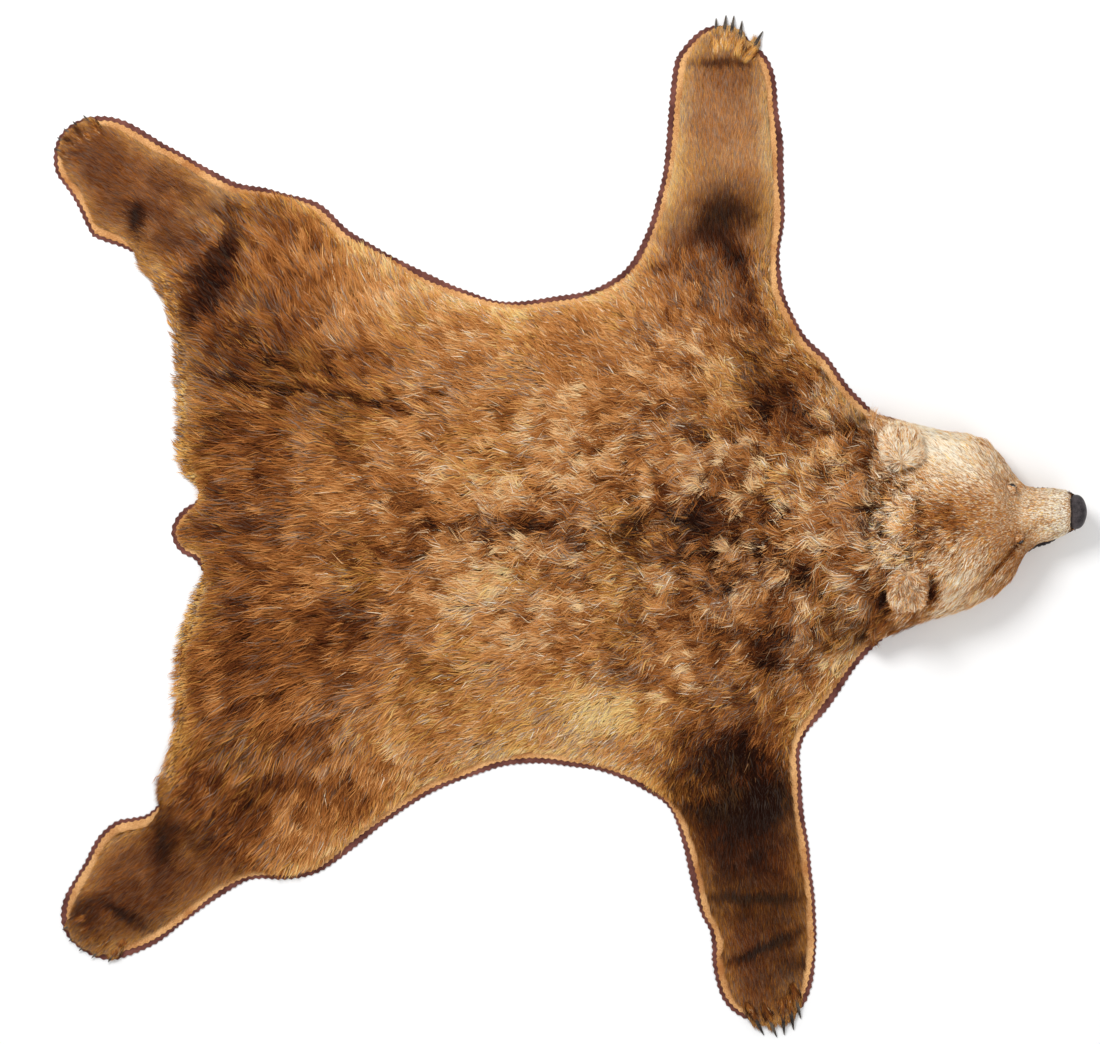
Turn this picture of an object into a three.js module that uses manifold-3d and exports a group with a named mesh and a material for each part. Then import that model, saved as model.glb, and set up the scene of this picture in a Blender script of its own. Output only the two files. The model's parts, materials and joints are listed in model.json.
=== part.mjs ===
// Bearskin rug with a mounted head, laid flat, belly side down.
// Millimetres, +Z up. +X runs to the nose and +Y to the animal's left side.
// The origin lies on the floor below the middle of the back.
import * as THREE from "three";
import { mergeVertices } from "three/addons/utils/BufferGeometryUtils.js";
import Module from "manifold-3d";

const wasm = await Module();
wasm.setup();

// Driving sizes
const seamGap = 0.3; // clearance between pieces that touch
const feltThickness = 2;
const feltReach = 36; // from the outer edge to the stitching under the hide
const goldInset = 11; // dark felt that shows outside the gold felt
const furInset = 24; // both felts together that show outside the fur
const furOverhang = 8; // long rump hair past the felt
const toothPitch = 26; // pinking, a tooth to every second real one
const toothDepth = 2.4;
const plainStep = 28; // sampling of edges without teeth
const rimStep = 30; // sampling of the fur's rim
const rimSeat = 2 * (feltThickness + seamGap); // the fur's rim lies on both felts
const recessReach = feltReach + 5; // the hide comes down to the floor inside the felts
const recessDrop = 40;

const rimPile = 7; // height of the coat above the rim seat
const fullPile = 25; // more height well inside the rim
const pileRun = 60; // run over which the coat reaches that height
const gridPitch = 50; // spacing of the coat's surface points
const tuftHeight = 2.6; // uneven tufts all over
const tuftWaves = { along: 31, across: 27, bend: 57, drift: 83, slant: 41 };

const edgeRun = { mounds: 70, tufts: 40, neck: 60 }; // runs over which these fade at the rim
const neckStart = 400; // the coat begins to rise to the head
const headSeam = 606; // plane behind the ears where head and hide meet
const ringSides = 24;
const jawSquare = 0.45; // the underside is flat almost to its sides

// Rows across the neck: reach of the felt to the left and to the right at each x
const neckRows = [
  { x: 720, left: 150, right: 145 },
  { x: 672, left: 190, right: 188 },
  { x: 632, left: 219, right: 222 },
  { x: 598, left: 247, right: 255 },
  { x: 562, left: 283, right: 303 },
  { x: 522, left: 341, right: 360 },
  { x: 482, left: 378, right: 411 },
];

// Rows across the back, from the forelegs to the hind legs
const backRows = [
  { x: 110, left: 511, right: 506 },
  { x: 50, left: 478, right: 486 },
  { x: -30, left: 463, right: 472 },
  { x: -120, left: 455, right: 476 },
  { x: -200, left: 474, right: 502 },
  { x: -280, left: 507, right: 537 },
  { x: -360, left: 551, right: 589 },
  { x: -430, left: 589, right: 645 },
  { x: -500, left: 650, right: 692 },
];

// Rump edge beside the tail, on the left and on the right
const rumpLeft = [
  { y: 335, x: -766 },
  { y: 255, x: -764 },
  { y: 175, x: -763 },
  { y: 112, x: -752 },
];
const rumpRight = [
  { y: -118, x: -728 },
  { y: -180, x: -747 },
  { y: -230, x: -762 },
  { y: -290, x: -766 },
  { y: -365, x: -766 },
];

// Short tail, felt shows round its tip
const tailRows = [
  { y: 60, x: -742 },
  { y: 32, x: -772 },
  { y: -8, x: -790 },
  { y: -46, x: -776 },
  { y: -72, x: -738 },
];

// Legs: rows run out along the heading, fore and aft are the felt's reach on each side of it.
// Long hair hides the felt on the aft side up to hairTo.
// Claws: side and out place the tip, lean turns the claw towards the fore side.
const legs = {
  fore_left: {
    root: [300, 420],
    heading: 90,
    foreSide: -1,
    tip: { along: 586, side: -8 },
    hairTo: 0,
    rows: [
      { along: 50, fore: 134 },
      { along: 110, fore: 128, aft: 172 },
      { along: 180, fore: 134, aft: 138 },
      { along: 260, fore: 134, aft: 117 },
      { along: 340, fore: 131, aft: 103 },
      { along: 420, fore: 124, aft: 97 },
      { along: 480, fore: 116, aft: 90 },
      { along: 520, fore: 101, aft: 83 },
      { along: 550, fore: 72, aft: 62 },
      { along: 574, fore: 40, aft: 38 },
    ],
    claws: [
      { side: 92, out: 573, lean: 30 },
      { side: 50, out: 594, lean: 8 },
      { side: 34, out: 604, lean: 10 },
      { side: 18, out: 605, lean: 7 },
      { side: -2, out: 599, lean: 1 },
    ],
  },
  fore_right: {
    root: [338, -420],
    heading: -81,
    foreSide: 1,
    tip: { along: 577, side: -15 },
    hairTo: 0,
    rows: [
      { along: 45, fore: 124 },
      { along: 110, fore: 116, aft: 163 },
      { along: 180, fore: 112, aft: 142 },
      { along: 260, fore: 111, aft: 134 },
      { along: 335, fore: 109, aft: 127 },
      { along: 385, fore: 104, aft: 112 },
      { along: 430, fore: 98, aft: 118 },
      { along: 480, fore: 85, aft: 117 },
      { along: 520, fore: 70, aft: 107 },
      { along: 550, fore: 50, aft: 84 },
      { along: 569, fore: 22, aft: 52 },
    ],
    claws: [
      { side: 40, out: 576, lean: 6 },
      { side: 22, out: 596, lean: 0 },
      { side: 2, out: 603, lean: -4 },
      { side: -13, out: 605, lean: 14 },
      { side: -38, out: 597, lean: 18 },
    ],
  },
  hind_left: {
    root: [-640, 500],
    heading: 146,
    foreSide: -1,
    tip: { along: 469, side: 22 },
    hairTo: 200,
    rows: [
      { along: 60, fore: 174, aft: 158 },
      { along: 120, fore: 146, aft: 112 },
      { along: 180, fore: 137, aft: 92 },
      { along: 250, fore: 136, aft: 95 },
      { along: 302, fore: 128, aft: 106 },
      { along: 345, fore: 127, aft: 82 },
      { along: 390, fore: 122, aft: 60 },
      { along: 430, fore: 100, aft: 44 },
      { along: 458, fore: 64, aft: 14 },
    ],
    claws: [
      { side: 86, out: 452, lean: 14 },
      { side: 64, out: 463, lean: 10 },
      { side: 42, out: 470, lean: 4 },
      { side: 20, out: 471, lean: -2 },
      { side: -2, out: 464, lean: -8 },
    ],
  },
  hind_right: {
    root: [-640, -520],
    heading: -138,
    foreSide: 1,
    tip: { along: 468, side: -12 },
    hairTo: 130,
    rows: [
      { along: 60, fore: 195, aft: 148 },
      { along: 120, fore: 145, aft: 115 },
      { along: 180, fore: 128, aft: 97 },
      { along: 240, fore: 121, aft: 127 },
      { along: 290, fore: 117, aft: 128 },
      { along: 340, fore: 110, aft: 107 },
      { along: 390, fore: 94, aft: 92 },
      { along: 430, fore: 75, aft: 74 },
      { along: 457, fore: 40, aft: 46 },
    ],
    claws: [
      { side: 74, out: 440, lean: 14 },
      { side: 46, out: 459, lean: 8 },
      { side: 18, out: 468, lean: 2 },
      { side: -10, out: 470, lean: -4 },
      { side: -36, out: 464, lean: -10 },
    ],
  },
};

// Claw shape along its length: t runs from the root to the tip
const clawRows = {
  fore: [
    { t: 0, radius: 5.4, z: 12 },
    { t: 0.3, radius: 5.2, z: 13.5 },
    { t: 0.55, radius: 4.5, z: 12.5 },
    { t: 0.8, radius: 3, z: 8.6 },
    { t: 1, radius: 0.9, z: 2.6 },
  ],
  hind: [
    { t: 0, radius: 4.8, z: 11 },
    { t: 0.35, radius: 4.6, z: 12 },
    { t: 0.65, radius: 3.6, z: 10.6 },
    { t: 1, radius: 0.9, z: 6.4 },
  ],
};
const clawLength = { fore: 62, hind: 44 };
const clawSides = 6;
const toe = { long: 27, wide: 14, tall: 14, z: 9, back: 0.72 }; // back is a share of the claw

// Soft mounds of the stuffed and folded skin: place, reach, turn in degrees and rise
const mounds = [
  { x: 330, y: 0, long: 190, wide: 170, turn: 0, rise: 26 }, // between the shoulders
  { x: 300, y: 270, long: 150, wide: 95, turn: 75, rise: 14 }, // left shoulder
  { x: 320, y: -280, long: 150, wide: 95, turn: -75, rise: 14 }, // right shoulder
  { x: -180, y: 0, long: 420, wide: 70, turn: 0, rise: 8 }, // spine
  { x: -560, y: 390, long: 190, wide: 120, turn: 146, rise: 16 }, // left haunch
  { x: -560, y: -420, long: 190, wide: 120, turn: -138, rise: 16 }, // right haunch
  { x: -660, y: 190, long: 60, wide: 140, turn: 0, rise: 10 }, // rump, left of the tail
  { x: -660, y: -230, long: 60, wide: 140, turn: 0, rise: 10 }, // rump, right of the tail
  { x: -430, y: 300, long: 110, wide: 28, turn: 205, rise: -9 }, // crease at the left flank
  { x: 525, y: -190, long: 70, wide: 26, turn: -40, rise: -14 }, // crease at the neck
  { x: 375, y: -735, long: 95, wide: 26, turn: 5, rise: 6 }, // fold across the right foreleg
  { x: 385, y: -850, long: 80, wide: 24, turn: 20, rise: 6 }, // fold above the right paw
  { x: 290, y: 900, long: 95, wide: 30, turn: 0, rise: 6 }, // fold above the left paw
  { x: -780, y: 640, long: 110, wide: 26, turn: 56, rise: 6 }, // fold across the left hind leg
  { x: -800, y: -660, long: 110, wide: 26, turn: 132, rise: 6 }, // fold across the right hind leg
];

// Head rows from the seam to the muzzle: reach to the left and right, height of the top, of the
// widest part and of the underside, and how square the crown is
const headRows = [
  { x: headSeam + seamGap, left: 222, right: 222, top: 158, widest: 30, under: 0, square: 0.95 },
  { x: 650, left: 212, right: 204, top: 180, widest: 34, under: 0, square: 0.9 },
  { x: 700, left: 200, right: 184, top: 196, widest: 40, under: 0, square: 0.85 },
  { x: 752, left: 188, right: 170, top: 201, widest: 46, under: 0, square: 0.82 },
  { x: 800, left: 182, right: 153, top: 194, widest: 48, under: 0, square: 0.85 },
  { x: 830, left: 172, right: 139, top: 182, widest: 46, under: 0, square: 0.95 },
  { x: 854, left: 146, right: 125, top: 166, widest: 44, under: 0, square: 1 },
  { x: 880, left: 112, right: 100, top: 149, widest: 44, under: 0, square: 0.95 },
  { x: 904, left: 88, right: 56, top: 134, widest: 48, under: 1, square: 0.8 },
  { x: 930, left: 77, right: 31, top: 123, widest: 54, under: 3, square: 0.65 },
  { x: 962, left: 75, right: 21, top: 116, widest: 58, under: 8, square: 0.6 },
  { x: 990, left: 71, right: 9, top: 109, widest: 62, under: 20, square: 0.6 },
  { x: 1008, left: 61, right: 0, top: 99, widest: 66, under: 38, square: 0.7 },
];
const nose = { x: 1000, y: 31, z: 86, long: 25, wide: 34, tall: 24 };
const eyes = {
  left: { x: 868, y: 75 },
  right: { x: 882, y: -21 },
};
const eyeSize = { radius: 10, sink: 2 };
const ears = {
  left: { x: 646, y: 158, turn: 28 },
  right: { x: 660, y: -118, turn: -20 },
};
const earSize = { thick: 18, wide: 40, tall: 46, lift: 20 };

const colours = {
  coat: 0x8a5a34,
  face: 0xd9bd92,
  noseLeather: 0x2c2a2e,
  glass: 0x1d120c,
  claw: 0x2f2622,
  darkFelt: 0x6e413c,
  goldFelt: 0xd7a05f,
};

const group = new THREE.Group();

function addPiece(name, geometry, colour, roughness) {
  const material = new THREE.MeshStandardMaterial({ color: colour, roughness, metalness: 0 });
  const mesh = new THREE.Mesh(geometry, material);
  mesh.name = name;
  group.add(mesh);
}

// Solids in and out of the cutting library
function toSolid(geometry) {
  const bare = geometry.clone();
  bare.deleteAttribute("normal");
  bare.deleteAttribute("uv");
  const merged = mergeVertices(bare, 1e-4);
  return new wasm.Manifold(new wasm.Mesh({
    numProp: 3,
    vertProperties: new Float32Array(merged.attributes.position.array),
    triVerts: new Uint32Array(merged.index.array),
  }));
}

function toGeometry(solid) {
  const mesh = solid.getMesh();
  const geometry = new THREE.BufferGeometry();
  geometry.setAttribute("position", new THREE.BufferAttribute(mesh.vertProperties, 3));
  geometry.setIndex(new THREE.BufferAttribute(mesh.triVerts, 1));
  geometry.computeVertexNormals();
  return geometry;
}

// Closed skin over rings of equal length, each end closed by a fan
function loft(rings) {
  const sides = rings[0].length;
  const points = rings.flat();
  const faces = [];
  for (let r = 0; r + 1 < rings.length; r += 1) {
    for (let i = 0; i < sides; i += 1) {
      const a = r * sides + i;
      const b = r * sides + ((i + 1) % sides);
      faces.push(a, b, b + sides, a, b + sides, a + sides);
    }
  }
  const last = (rings.length - 1) * sides;
  for (let i = 1; i + 1 < sides; i += 1) {
    faces.push(0, i + 1, i, last, last + i, last + i + 1);
  }
  const geometry = new THREE.BufferGeometry().setFromPoints(points);
  geometry.setIndex(faces);
  geometry.computeVertexNormals();
  return geometry;
}

function ellipsoid(radii, centre, turn, around = 10, rings = 7) {
  const geometry = new THREE.SphereGeometry(1, around, rings);
  geometry.scale(...radii);
  geometry.rotateZ(turn);
  geometry.translate(...centre);
  return geometry;
}

function prism(outline, low, high) {
  const geometry = new THREE.ExtrudeGeometry(new THREE.Shape(outline), {
    depth: high - low,
    bevelEnabled: false,
  });
  geometry.translate(0, 0, low);
  return geometry;
}

function smoothStep(from, to, value) {
  const t = THREE.MathUtils.clamp((value - from) / (to - from), 0, 1);
  return t * t * (3 - 2 * t);
}

// Leg frame: a point at a distance along the heading and to the fore side of it
function legPoint(leg, along, side) {
  const angle = THREE.MathUtils.degToRad(leg.heading);
  const out = [Math.cos(angle), Math.sin(angle)];
  const fore = [-out[1] * leg.foreSide, out[0] * leg.foreSide];
  return [
    leg.root[0] + out[0] * along + fore[0] * side,
    leg.root[1] + out[1] * along + fore[1] * side,
  ];
}

// Outer felt edge, walked round from the left of the neck to the right of it.
// Each control point carries the inset of the fur's rim in its third place.
const control = [];
const joins = []; // where a felt length ends and the next begins

function addControl(point, inset) {
  control.push(new THREE.Vector3(point[0], point[1], inset));
}

function addLegSide(leg, sideName, outward) {
  const sign = sideName === "fore" ? 1 : -1;
  const rows = outward ? leg.rows : [...leg.rows].reverse();
  for (const row of rows.filter((each) => sideName in each)) {
    const longHair = sideName === "aft" && row.along < leg.hairTo;
    addControl(legPoint(leg, row.along, sign * row[sideName]), longHair ? -furOverhang : furInset);
  }
}

function markJoin() {
  joins.push(control.length - 1);
}

function addLeg(leg, firstSide, secondSide) {
  addLegSide(leg, firstSide, true);
  addControl(legPoint(leg, leg.tip.along, leg.tip.side), furInset);
  addLegSide(leg, secondSide, false);
}

for (const row of neckRows) {
  addControl([row.x, row.left], furInset);
}
joins.push(2);
addLeg(legs.fore_left, "fore", "aft");
joins.push(control.length - legs.fore_left.rows.length + 3);
for (const row of backRows) {
  addControl([row.x, row.left], furInset);
}
addLeg(legs.hind_left, "fore", "aft");
joins.push(control.length - legs.hind_left.rows.length * 2 + 4);
joins.push(control.length - 5);
for (const row of rumpLeft) {
  addControl([row.x, row.y], -furOverhang);
}
markJoin();
for (const row of tailRows) {
  addControl([row.x, row.y], furInset * 0.7);
}
for (const row of rumpRight) {
  addControl([row.x, row.y], -furOverhang);
}
joins.push(control.length - rumpRight.length);
addLeg(legs.hind_right, "aft", "fore");
joins.push(control.length - legs.hind_right.rows.length + 4);
for (const row of [...backRows].reverse()) {
  addControl([row.x, -row.right], furInset);
}
addLeg(legs.fore_right, "aft", "fore");
joins.push(control.length - legs.fore_right.rows.length * 2 + 5);
for (const row of [...neckRows].reverse()) {
  addControl([row.x, -row.right], furInset);
}
joins.push(control.length - 3);

// Dense walk along the smooth edge, with the distance run so far at each step
const edgeCurve = new THREE.CatmullRomCurve3(control, false, "centripetal");
const stepsPerControl = 24;
const walk = [];
let distanceRun = 0;
for (let i = 0; i <= (control.length - 1) * stepsPerControl; i += 1) {
  const point = edgeCurve.getPoint(i / ((control.length - 1) * stepsPerControl));
  if (walk.length > 0) {
    const before = walk[walk.length - 1].point;
    distanceRun += Math.hypot(point.x - before.x, point.y - before.y);
  }
  walk.push({ point, run: distanceRun });
}

function edgeAt(run) {
  let low = 0;
  let high = walk.length - 1;
  while (high - low > 1) {
    const middle = (low + high) >> 1;
    if (walk[middle].run <= run) {
      low = middle;
    } else {
      high = middle;
    }
  }
  const a = walk[low];
  const b = walk[high];
  const t = (run - a.run) / (b.run - a.run);
  return new THREE.Vector3().lerpVectors(a.point, b.point, t);
}

// Point on the edge moved inwards; deeper insets take their direction over a longer stretch
function insetPoint(run, inset) {
  const span = 10 + Math.abs(inset);
  const behind = edgeAt(Math.max(run - span, 0));
  const ahead = edgeAt(Math.min(run + span, distanceRun));
  const length = Math.hypot(ahead.x - behind.x, ahead.y - behind.y);
  const here = edgeAt(run);
  return new THREE.Vector2(
    here.x - ((ahead.y - behind.y) / length) * inset,
    here.y + ((ahead.x - behind.x) / length) * inset,
  );
}

function runAtControl(index) {
  return walk[index * stepsPerControl].run;
}

// Inset outline as an even polyline; points that fold back over their neighbours are dropped
function insetLine(from, to, step, insetOf) {
  const count = Math.max(2, Math.round((to - from) / step));
  const points = [];
  let heading = null;
  for (let i = 0; i <= count; i += 1) {
    const run = from + ((to - from) * i) / count;
    const point = insetPoint(run, insetOf(run, i));
    const along = edgeAt(Math.min(run + 1, distanceRun)).sub(edgeAt(Math.max(run - 1, 0)));
    const previous = points[points.length - 1];
    heading = previous ? point.clone().sub(previous) : along;
    if (!previous || heading.x * along.x + heading.y * along.y > 0) {
      points.push(point);
    }
  }
  return points;
}

// Felt strips
function feltStrip(from, to, inset, low, toothed) {
  const half = toothPitch / 2;
  const step = toothed ? half : plainStep;
  const outer = insetLine(from, to, step, (run, i) => (
    inset + (toothed && i % 2 === 1 ? toothDepth : 0)
  ));
  const inner = insetLine(from, to, plainStep, () => feltReach).reverse();
  return prism([...outer, ...inner], low, low + feltThickness);
}

for (let i = 0; i + 1 < joins.length; i += 1) {
  const from = runAtControl(joins[i]) + seamGap;
  const to = runAtControl(joins[i + 1]) - seamGap;
  const goldLow = feltThickness + seamGap;
  addPiece(`felt_dark_${i + 1}`, feltStrip(from, to, 0, 0, true), colours.darkFelt, 0.95);
  addPiece(`felt_gold_${i + 1}`, feltStrip(from, to, goldInset, goldLow, false), colours.goldFelt, 0.95);
}

// Coat height above the floor
const rimLine = insetLine(0, distanceRun, rimStep, (run) => edgeAt(run).z);

function distanceToRim(x, y) {
  let nearest = Infinity;
  let inside = false;
  for (let i = 0; i < rimLine.length; i += 1) {
    const a = rimLine[i];
    const b = rimLine[(i + 1) % rimLine.length];
    const dx = b.x - a.x;
    const dy = b.y - a.y;
    const t = THREE.MathUtils.clamp(((x - a.x) * dx + (y - a.y) * dy) / (dx * dx + dy * dy), 0, 1);
    nearest = Math.min(nearest, Math.hypot(x - a.x - dx * t, y - a.y - dy * t));
    if (a.y > y !== b.y > y && x < a.x + (dx * (y - a.y)) / dy) {
      inside = !inside;
    }
  }
  return inside ? nearest : 0;
}

function moundRise(mound, x, y) {
  const angle = THREE.MathUtils.degToRad(mound.turn);
  const dx = x - mound.x;
  const dy = y - mound.y;
  const u = (dx * Math.cos(angle) + dy * Math.sin(angle)) / mound.long;
  const v = (dy * Math.cos(angle) - dx * Math.sin(angle)) / mound.wide;
  return mound.rise * Math.exp(-(u * u + v * v));
}

function tufts(x, y) {
  const waves = tuftWaves;
  const bent = Math.sin(x / waves.along + 2 * Math.sin(y / waves.bend));
  const crossed = Math.sin(y / waves.across + x / waves.drift);
  return tuftHeight * (bent * crossed + 0.5 * Math.sin((x - 2 * y) / waves.slant));
}

// Crown of a section across the neck or head, by its left and right reach
function crownHeight(row, y) {
  const half = (row.left + row.right) / 2;
  const across = Math.min(Math.abs(y - (row.left - half)) / half, 1);
  return row.widest + (row.top - row.widest) * Math.sqrt(1 - across * across) ** row.square;
}

function coatHeight(x, y) {
  const depth = distanceToRim(x, y);
  let height = rimSeat + rimPile + fullPile * (1 - Math.exp(-depth / pileRun));
  const settled = smoothStep(0, edgeRun.mounds, depth);
  for (const mound of mounds) {
    height += moundRise(mound, x, y) * settled;
  }
  height += tufts(x, y) * smoothStep(0, edgeRun.tufts, depth);
  const rise = smoothStep(neckStart, headSeam, x);
  const neck = crownHeight(headRows[0], y);
  return height + Math.max(neck - height, 0) * rise * smoothStep(0, edgeRun.neck, depth);
}

// Block with the coat's surface on top, on an even grid up to the head seam
const blockCorner = { x: -1080, y: -1044, z: -1 };

function coatBlock() {
  const columns = Math.round((headSeam - blockCorner.x) / gridPitch);
  const rows = Math.round((-2 * blockCorner.y) / gridPitch);
  const points = [];
  for (let j = 0; j <= rows; j += 1) {
    for (let i = 0; i <= columns; i += 1) {
      const x = THREE.MathUtils.lerp(blockCorner.x, headSeam, i / columns);
      const y = THREE.MathUtils.lerp(blockCorner.y, -blockCorner.y, j / rows);
      points.push(new THREE.Vector3(x, y, coatHeight(x, y)));
    }
  }
  const wide = columns + 1;
  const faces = [];
  for (let j = 0; j < rows; j += 1) {
    for (let i = 0; i < columns; i += 1) {
      const a = j * wide + i;
      faces.push(a, a + 1, a + wide + 1, a, a + wide + 1, a + wide);
    }
  }
  const ring = [];
  for (let i = 0; i < columns; i += 1) {
    ring.push(i);
  }
  for (let j = 0; j < rows; j += 1) {
    ring.push(j * wide + columns);
  }
  for (let i = columns; i > 0; i -= 1) {
    ring.push(rows * wide + i);
  }
  for (let j = rows; j > 0; j -= 1) {
    ring.push(j * wide);
  }
  const base = points.length;
  for (const index of ring) {
    points.push(new THREE.Vector3(points[index].x, points[index].y, blockCorner.z));
  }
  const middle = points.length;
  points.push(new THREE.Vector3(0, 0, blockCorner.z));
  for (let i = 0; i < ring.length; i += 1) {
    const next = (i + 1) % ring.length;
    faces.push(ring[i], base + i, base + next, ring[i], base + next, ring[next]);
    faces.push(base + next, base + i, middle);
  }
  const geometry = new THREE.BufferGeometry().setFromPoints(points);
  geometry.setIndex(faces);
  return geometry;
}

// Three-sided lock of hair from the rim, its root inside the coat
const lockShape = { root: 16, thick: 5, lift: 3.2 };
const lockSpacing = { longHair: 24, shortHair: 130 };
const lockReach = { longHair: 9, shortHair: 6, extra: 5 };
const lockWidth = { least: 9, extra: 6 };
const lockSweep = 0.9; // radians, to either side

function lock(run, length, width, sweep) {
  const inset = edgeAt(run).z;
  const rim = insetPoint(run, inset);
  const outside = insetPoint(run, inset - 1);
  const geometry = new THREE.ConeGeometry(1, 1, 3, 1);
  geometry.rotateZ(-Math.PI / 2);
  geometry.translate(0.5, 0, 0);
  geometry.scale(length + lockShape.root, width, lockShape.thick);
  geometry.translate(-lockShape.root, 0, 0);
  geometry.rotateZ(Math.atan2(outside.y - rim.y, outside.x - rim.x) + sweep);
  geometry.translate(rim.x, rim.y, rimSeat + lockShape.lift);
  return geometry;
}

// Repeatable uneven numbers from 0 to 1
function makeSpread(seed) {
  let state = seed;
  return () => {
    state = (state * 1103515245 + 12345) % 2147483648;
    return state / 2147483648;
  };
}

function rimLocks() {
  const spread = makeSpread(7);
  const locks = [];
  const end = runAtControl(joins[joins.length - 1]) - rimStep;
  let run = runAtControl(joins[0]) + rimStep;
  while (run < end) {
    const hair = edgeAt(run).z < 0 ? "longHair" : "shortHair";
    const length = lockReach[hair] + spread() * lockReach.extra;
    const width = lockWidth.least + spread() * lockWidth.extra;
    locks.push(lock(run, length, width, (spread() - 0.5) * lockSweep));
    run += lockSpacing[hair] * (0.75 + spread() * 0.5);
  }
  return locks;
}

// Claws
function clawGeometry(kind, leg, claw, grow) {
  const length = clawLength[kind];
  const lean = THREE.MathUtils.degToRad(claw.lean);
  const rings = clawRows[kind].map((row) => {
    const back = (1 - row.t) * length - (row.t === 1 ? grow : 0) + (row.t === 0 ? grow : 0);
    const along = claw.out - Math.cos(lean) * back;
    const side = claw.side - Math.sin(lean) * back;
    const radius = row.radius + grow;
    const ring = [];
    for (let i = 0; i < clawSides; i += 1) {
      const angle = (i / clawSides) * 2 * Math.PI * leg.foreSide;
      const offset = Math.cos(angle) * radius;
      const place = legPoint(
        leg,
        along - Math.sin(lean) * offset,
        side + Math.cos(lean) * offset,
      );
      ring.push(new THREE.Vector3(place[0], place[1], row.z + Math.sin(angle) * radius));
    }
    return ring;
  });
  return loft(rings);
}

function toeGeometry(leg, claw, length) {
  const lean = THREE.MathUtils.degToRad(claw.lean);
  const reach = length * toe.back;
  const centre = legPoint(leg, claw.out - Math.cos(lean) * reach, claw.side - Math.sin(lean) * reach);
  const turn = THREE.MathUtils.degToRad(leg.heading + claw.lean * leg.foreSide);
  return ellipsoid([toe.long, toe.wide, toe.tall], [...centre, toe.z], turn, 7, 4);
}

// Hide: the coat block inside its rim, with toes and locks fused on, over a recess for the felts
let hide = toSolid(coatBlock()).intersect(toSolid(prism(rimLine, 0, 400)));
for (const geometry of rimLocks()) {
  hide = hide.add(toSolid(geometry));
}
for (const [name, leg] of Object.entries(legs)) {
  const kind = name.startsWith("fore") ? "fore" : "hind";
  for (const claw of leg.claws) {
    hide = hide.add(toSolid(toeGeometry(leg, claw, clawLength[kind])));
  }
}
const inner = insetLine(0, distanceRun, plainStep, () => recessReach);
const roomBlock = new THREE.BoxGeometry(2600, 2600, recessDrop + rimSeat);
roomBlock.translate(0, 0, (rimSeat - recessDrop) / 2);
const feltRoom = toSolid(roomBlock).subtract(toSolid(prism(inner, 0, recessDrop)));
hide = hide.subtract(feltRoom);
for (const [name, leg] of Object.entries(legs)) {
  const kind = name.startsWith("fore") ? "fore" : "hind";
  leg.claws.forEach((claw, i) => {
    hide = hide.subtract(toSolid(clawGeometry(kind, leg, claw, seamGap)));
    addPiece(`claw_${name}_${i + 1}`, clawGeometry(kind, leg, claw, 0), colours.claw, 0.4);
  });
}
addPiece("hide", toGeometry(hide), colours.coat, 1);

// Head: stuffed form under the skin, with the ears fused on
function headRing(row) {
  const half = (row.left + row.right) / 2;
  const ring = [];
  for (let i = 0; i < ringSides; i += 1) {
    const angle = (i / ringSides) * 2 * Math.PI;
    const across = Math.cos(angle);
    const rise = Math.sin(angle);
    const z = rise >= 0
      ? row.widest + (row.top - row.widest) * rise ** row.square
      : row.widest - (row.widest - row.under) * Math.abs(rise) ** jawSquare;
    ring.push(new THREE.Vector3(row.x, row.left - half + across * half, z));
  }
  return ring;
}

function headTop(x, y) {
  const next = headRows.findIndex((row) => row.x > x);
  const a = headRows[next - 1];
  const b = headRows[next];
  return THREE.MathUtils.lerp(crownHeight(a, y), crownHeight(b, y), (x - a.x) / (b.x - a.x));
}

// Cupped ear, its hollow turned forwards
function earSolid(place) {
  const z = headTop(place.x, place.y) + earSize.lift;
  const turn = THREE.MathUtils.degToRad(place.turn);
  const { thick, wide, tall } = earSize;
  const shell = ellipsoid([thick, wide, tall], [place.x, place.y, z], turn);
  const ahead = [place.x + Math.cos(turn) * thick, place.y + Math.sin(turn) * thick, z + tall / 6];
  const hollow = ellipsoid([thick, wide * 0.66, tall * 0.66], ahead, turn);
  return toSolid(shell).subtract(toSolid(hollow));
}

function noseGeometry(grow) {
  const radii = [nose.long + grow, nose.wide + grow, nose.tall + grow];
  return ellipsoid(radii, [nose.x, nose.y, nose.z], 0);
}

function eyeGeometry(place, grow) {
  const z = headTop(place.x, place.y) - eyeSize.sink;
  const radius = eyeSize.radius + grow;
  return ellipsoid([radius, radius, radius], [place.x, place.y, z], 0);
}

const socketGap = seamGap + 0.1;
let head = toSolid(loft(headRows.map(headRing)));
head = head.add(earSolid(ears.left)).add(earSolid(ears.right)).subtract(feltRoom);
head = head.subtract(toSolid(noseGeometry(socketGap)));
for (const [side, place] of Object.entries(eyes)) {
  head = head.subtract(toSolid(eyeGeometry(place, socketGap)));
  addPiece(`eye_${side}`, eyeGeometry(place, 0), colours.glass, 0.1);
}
addPiece("head", toGeometry(head), colours.face, 1);
addPiece("nose", noseGeometry(0), colours.noseLeather, 0.35);

export default group;
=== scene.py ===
import json
import math

import bmesh
import bpy
import numpy as np
from mathutils import Matrix, Vector, kdtree
from mathutils.bvhtree import BVHTree

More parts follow.
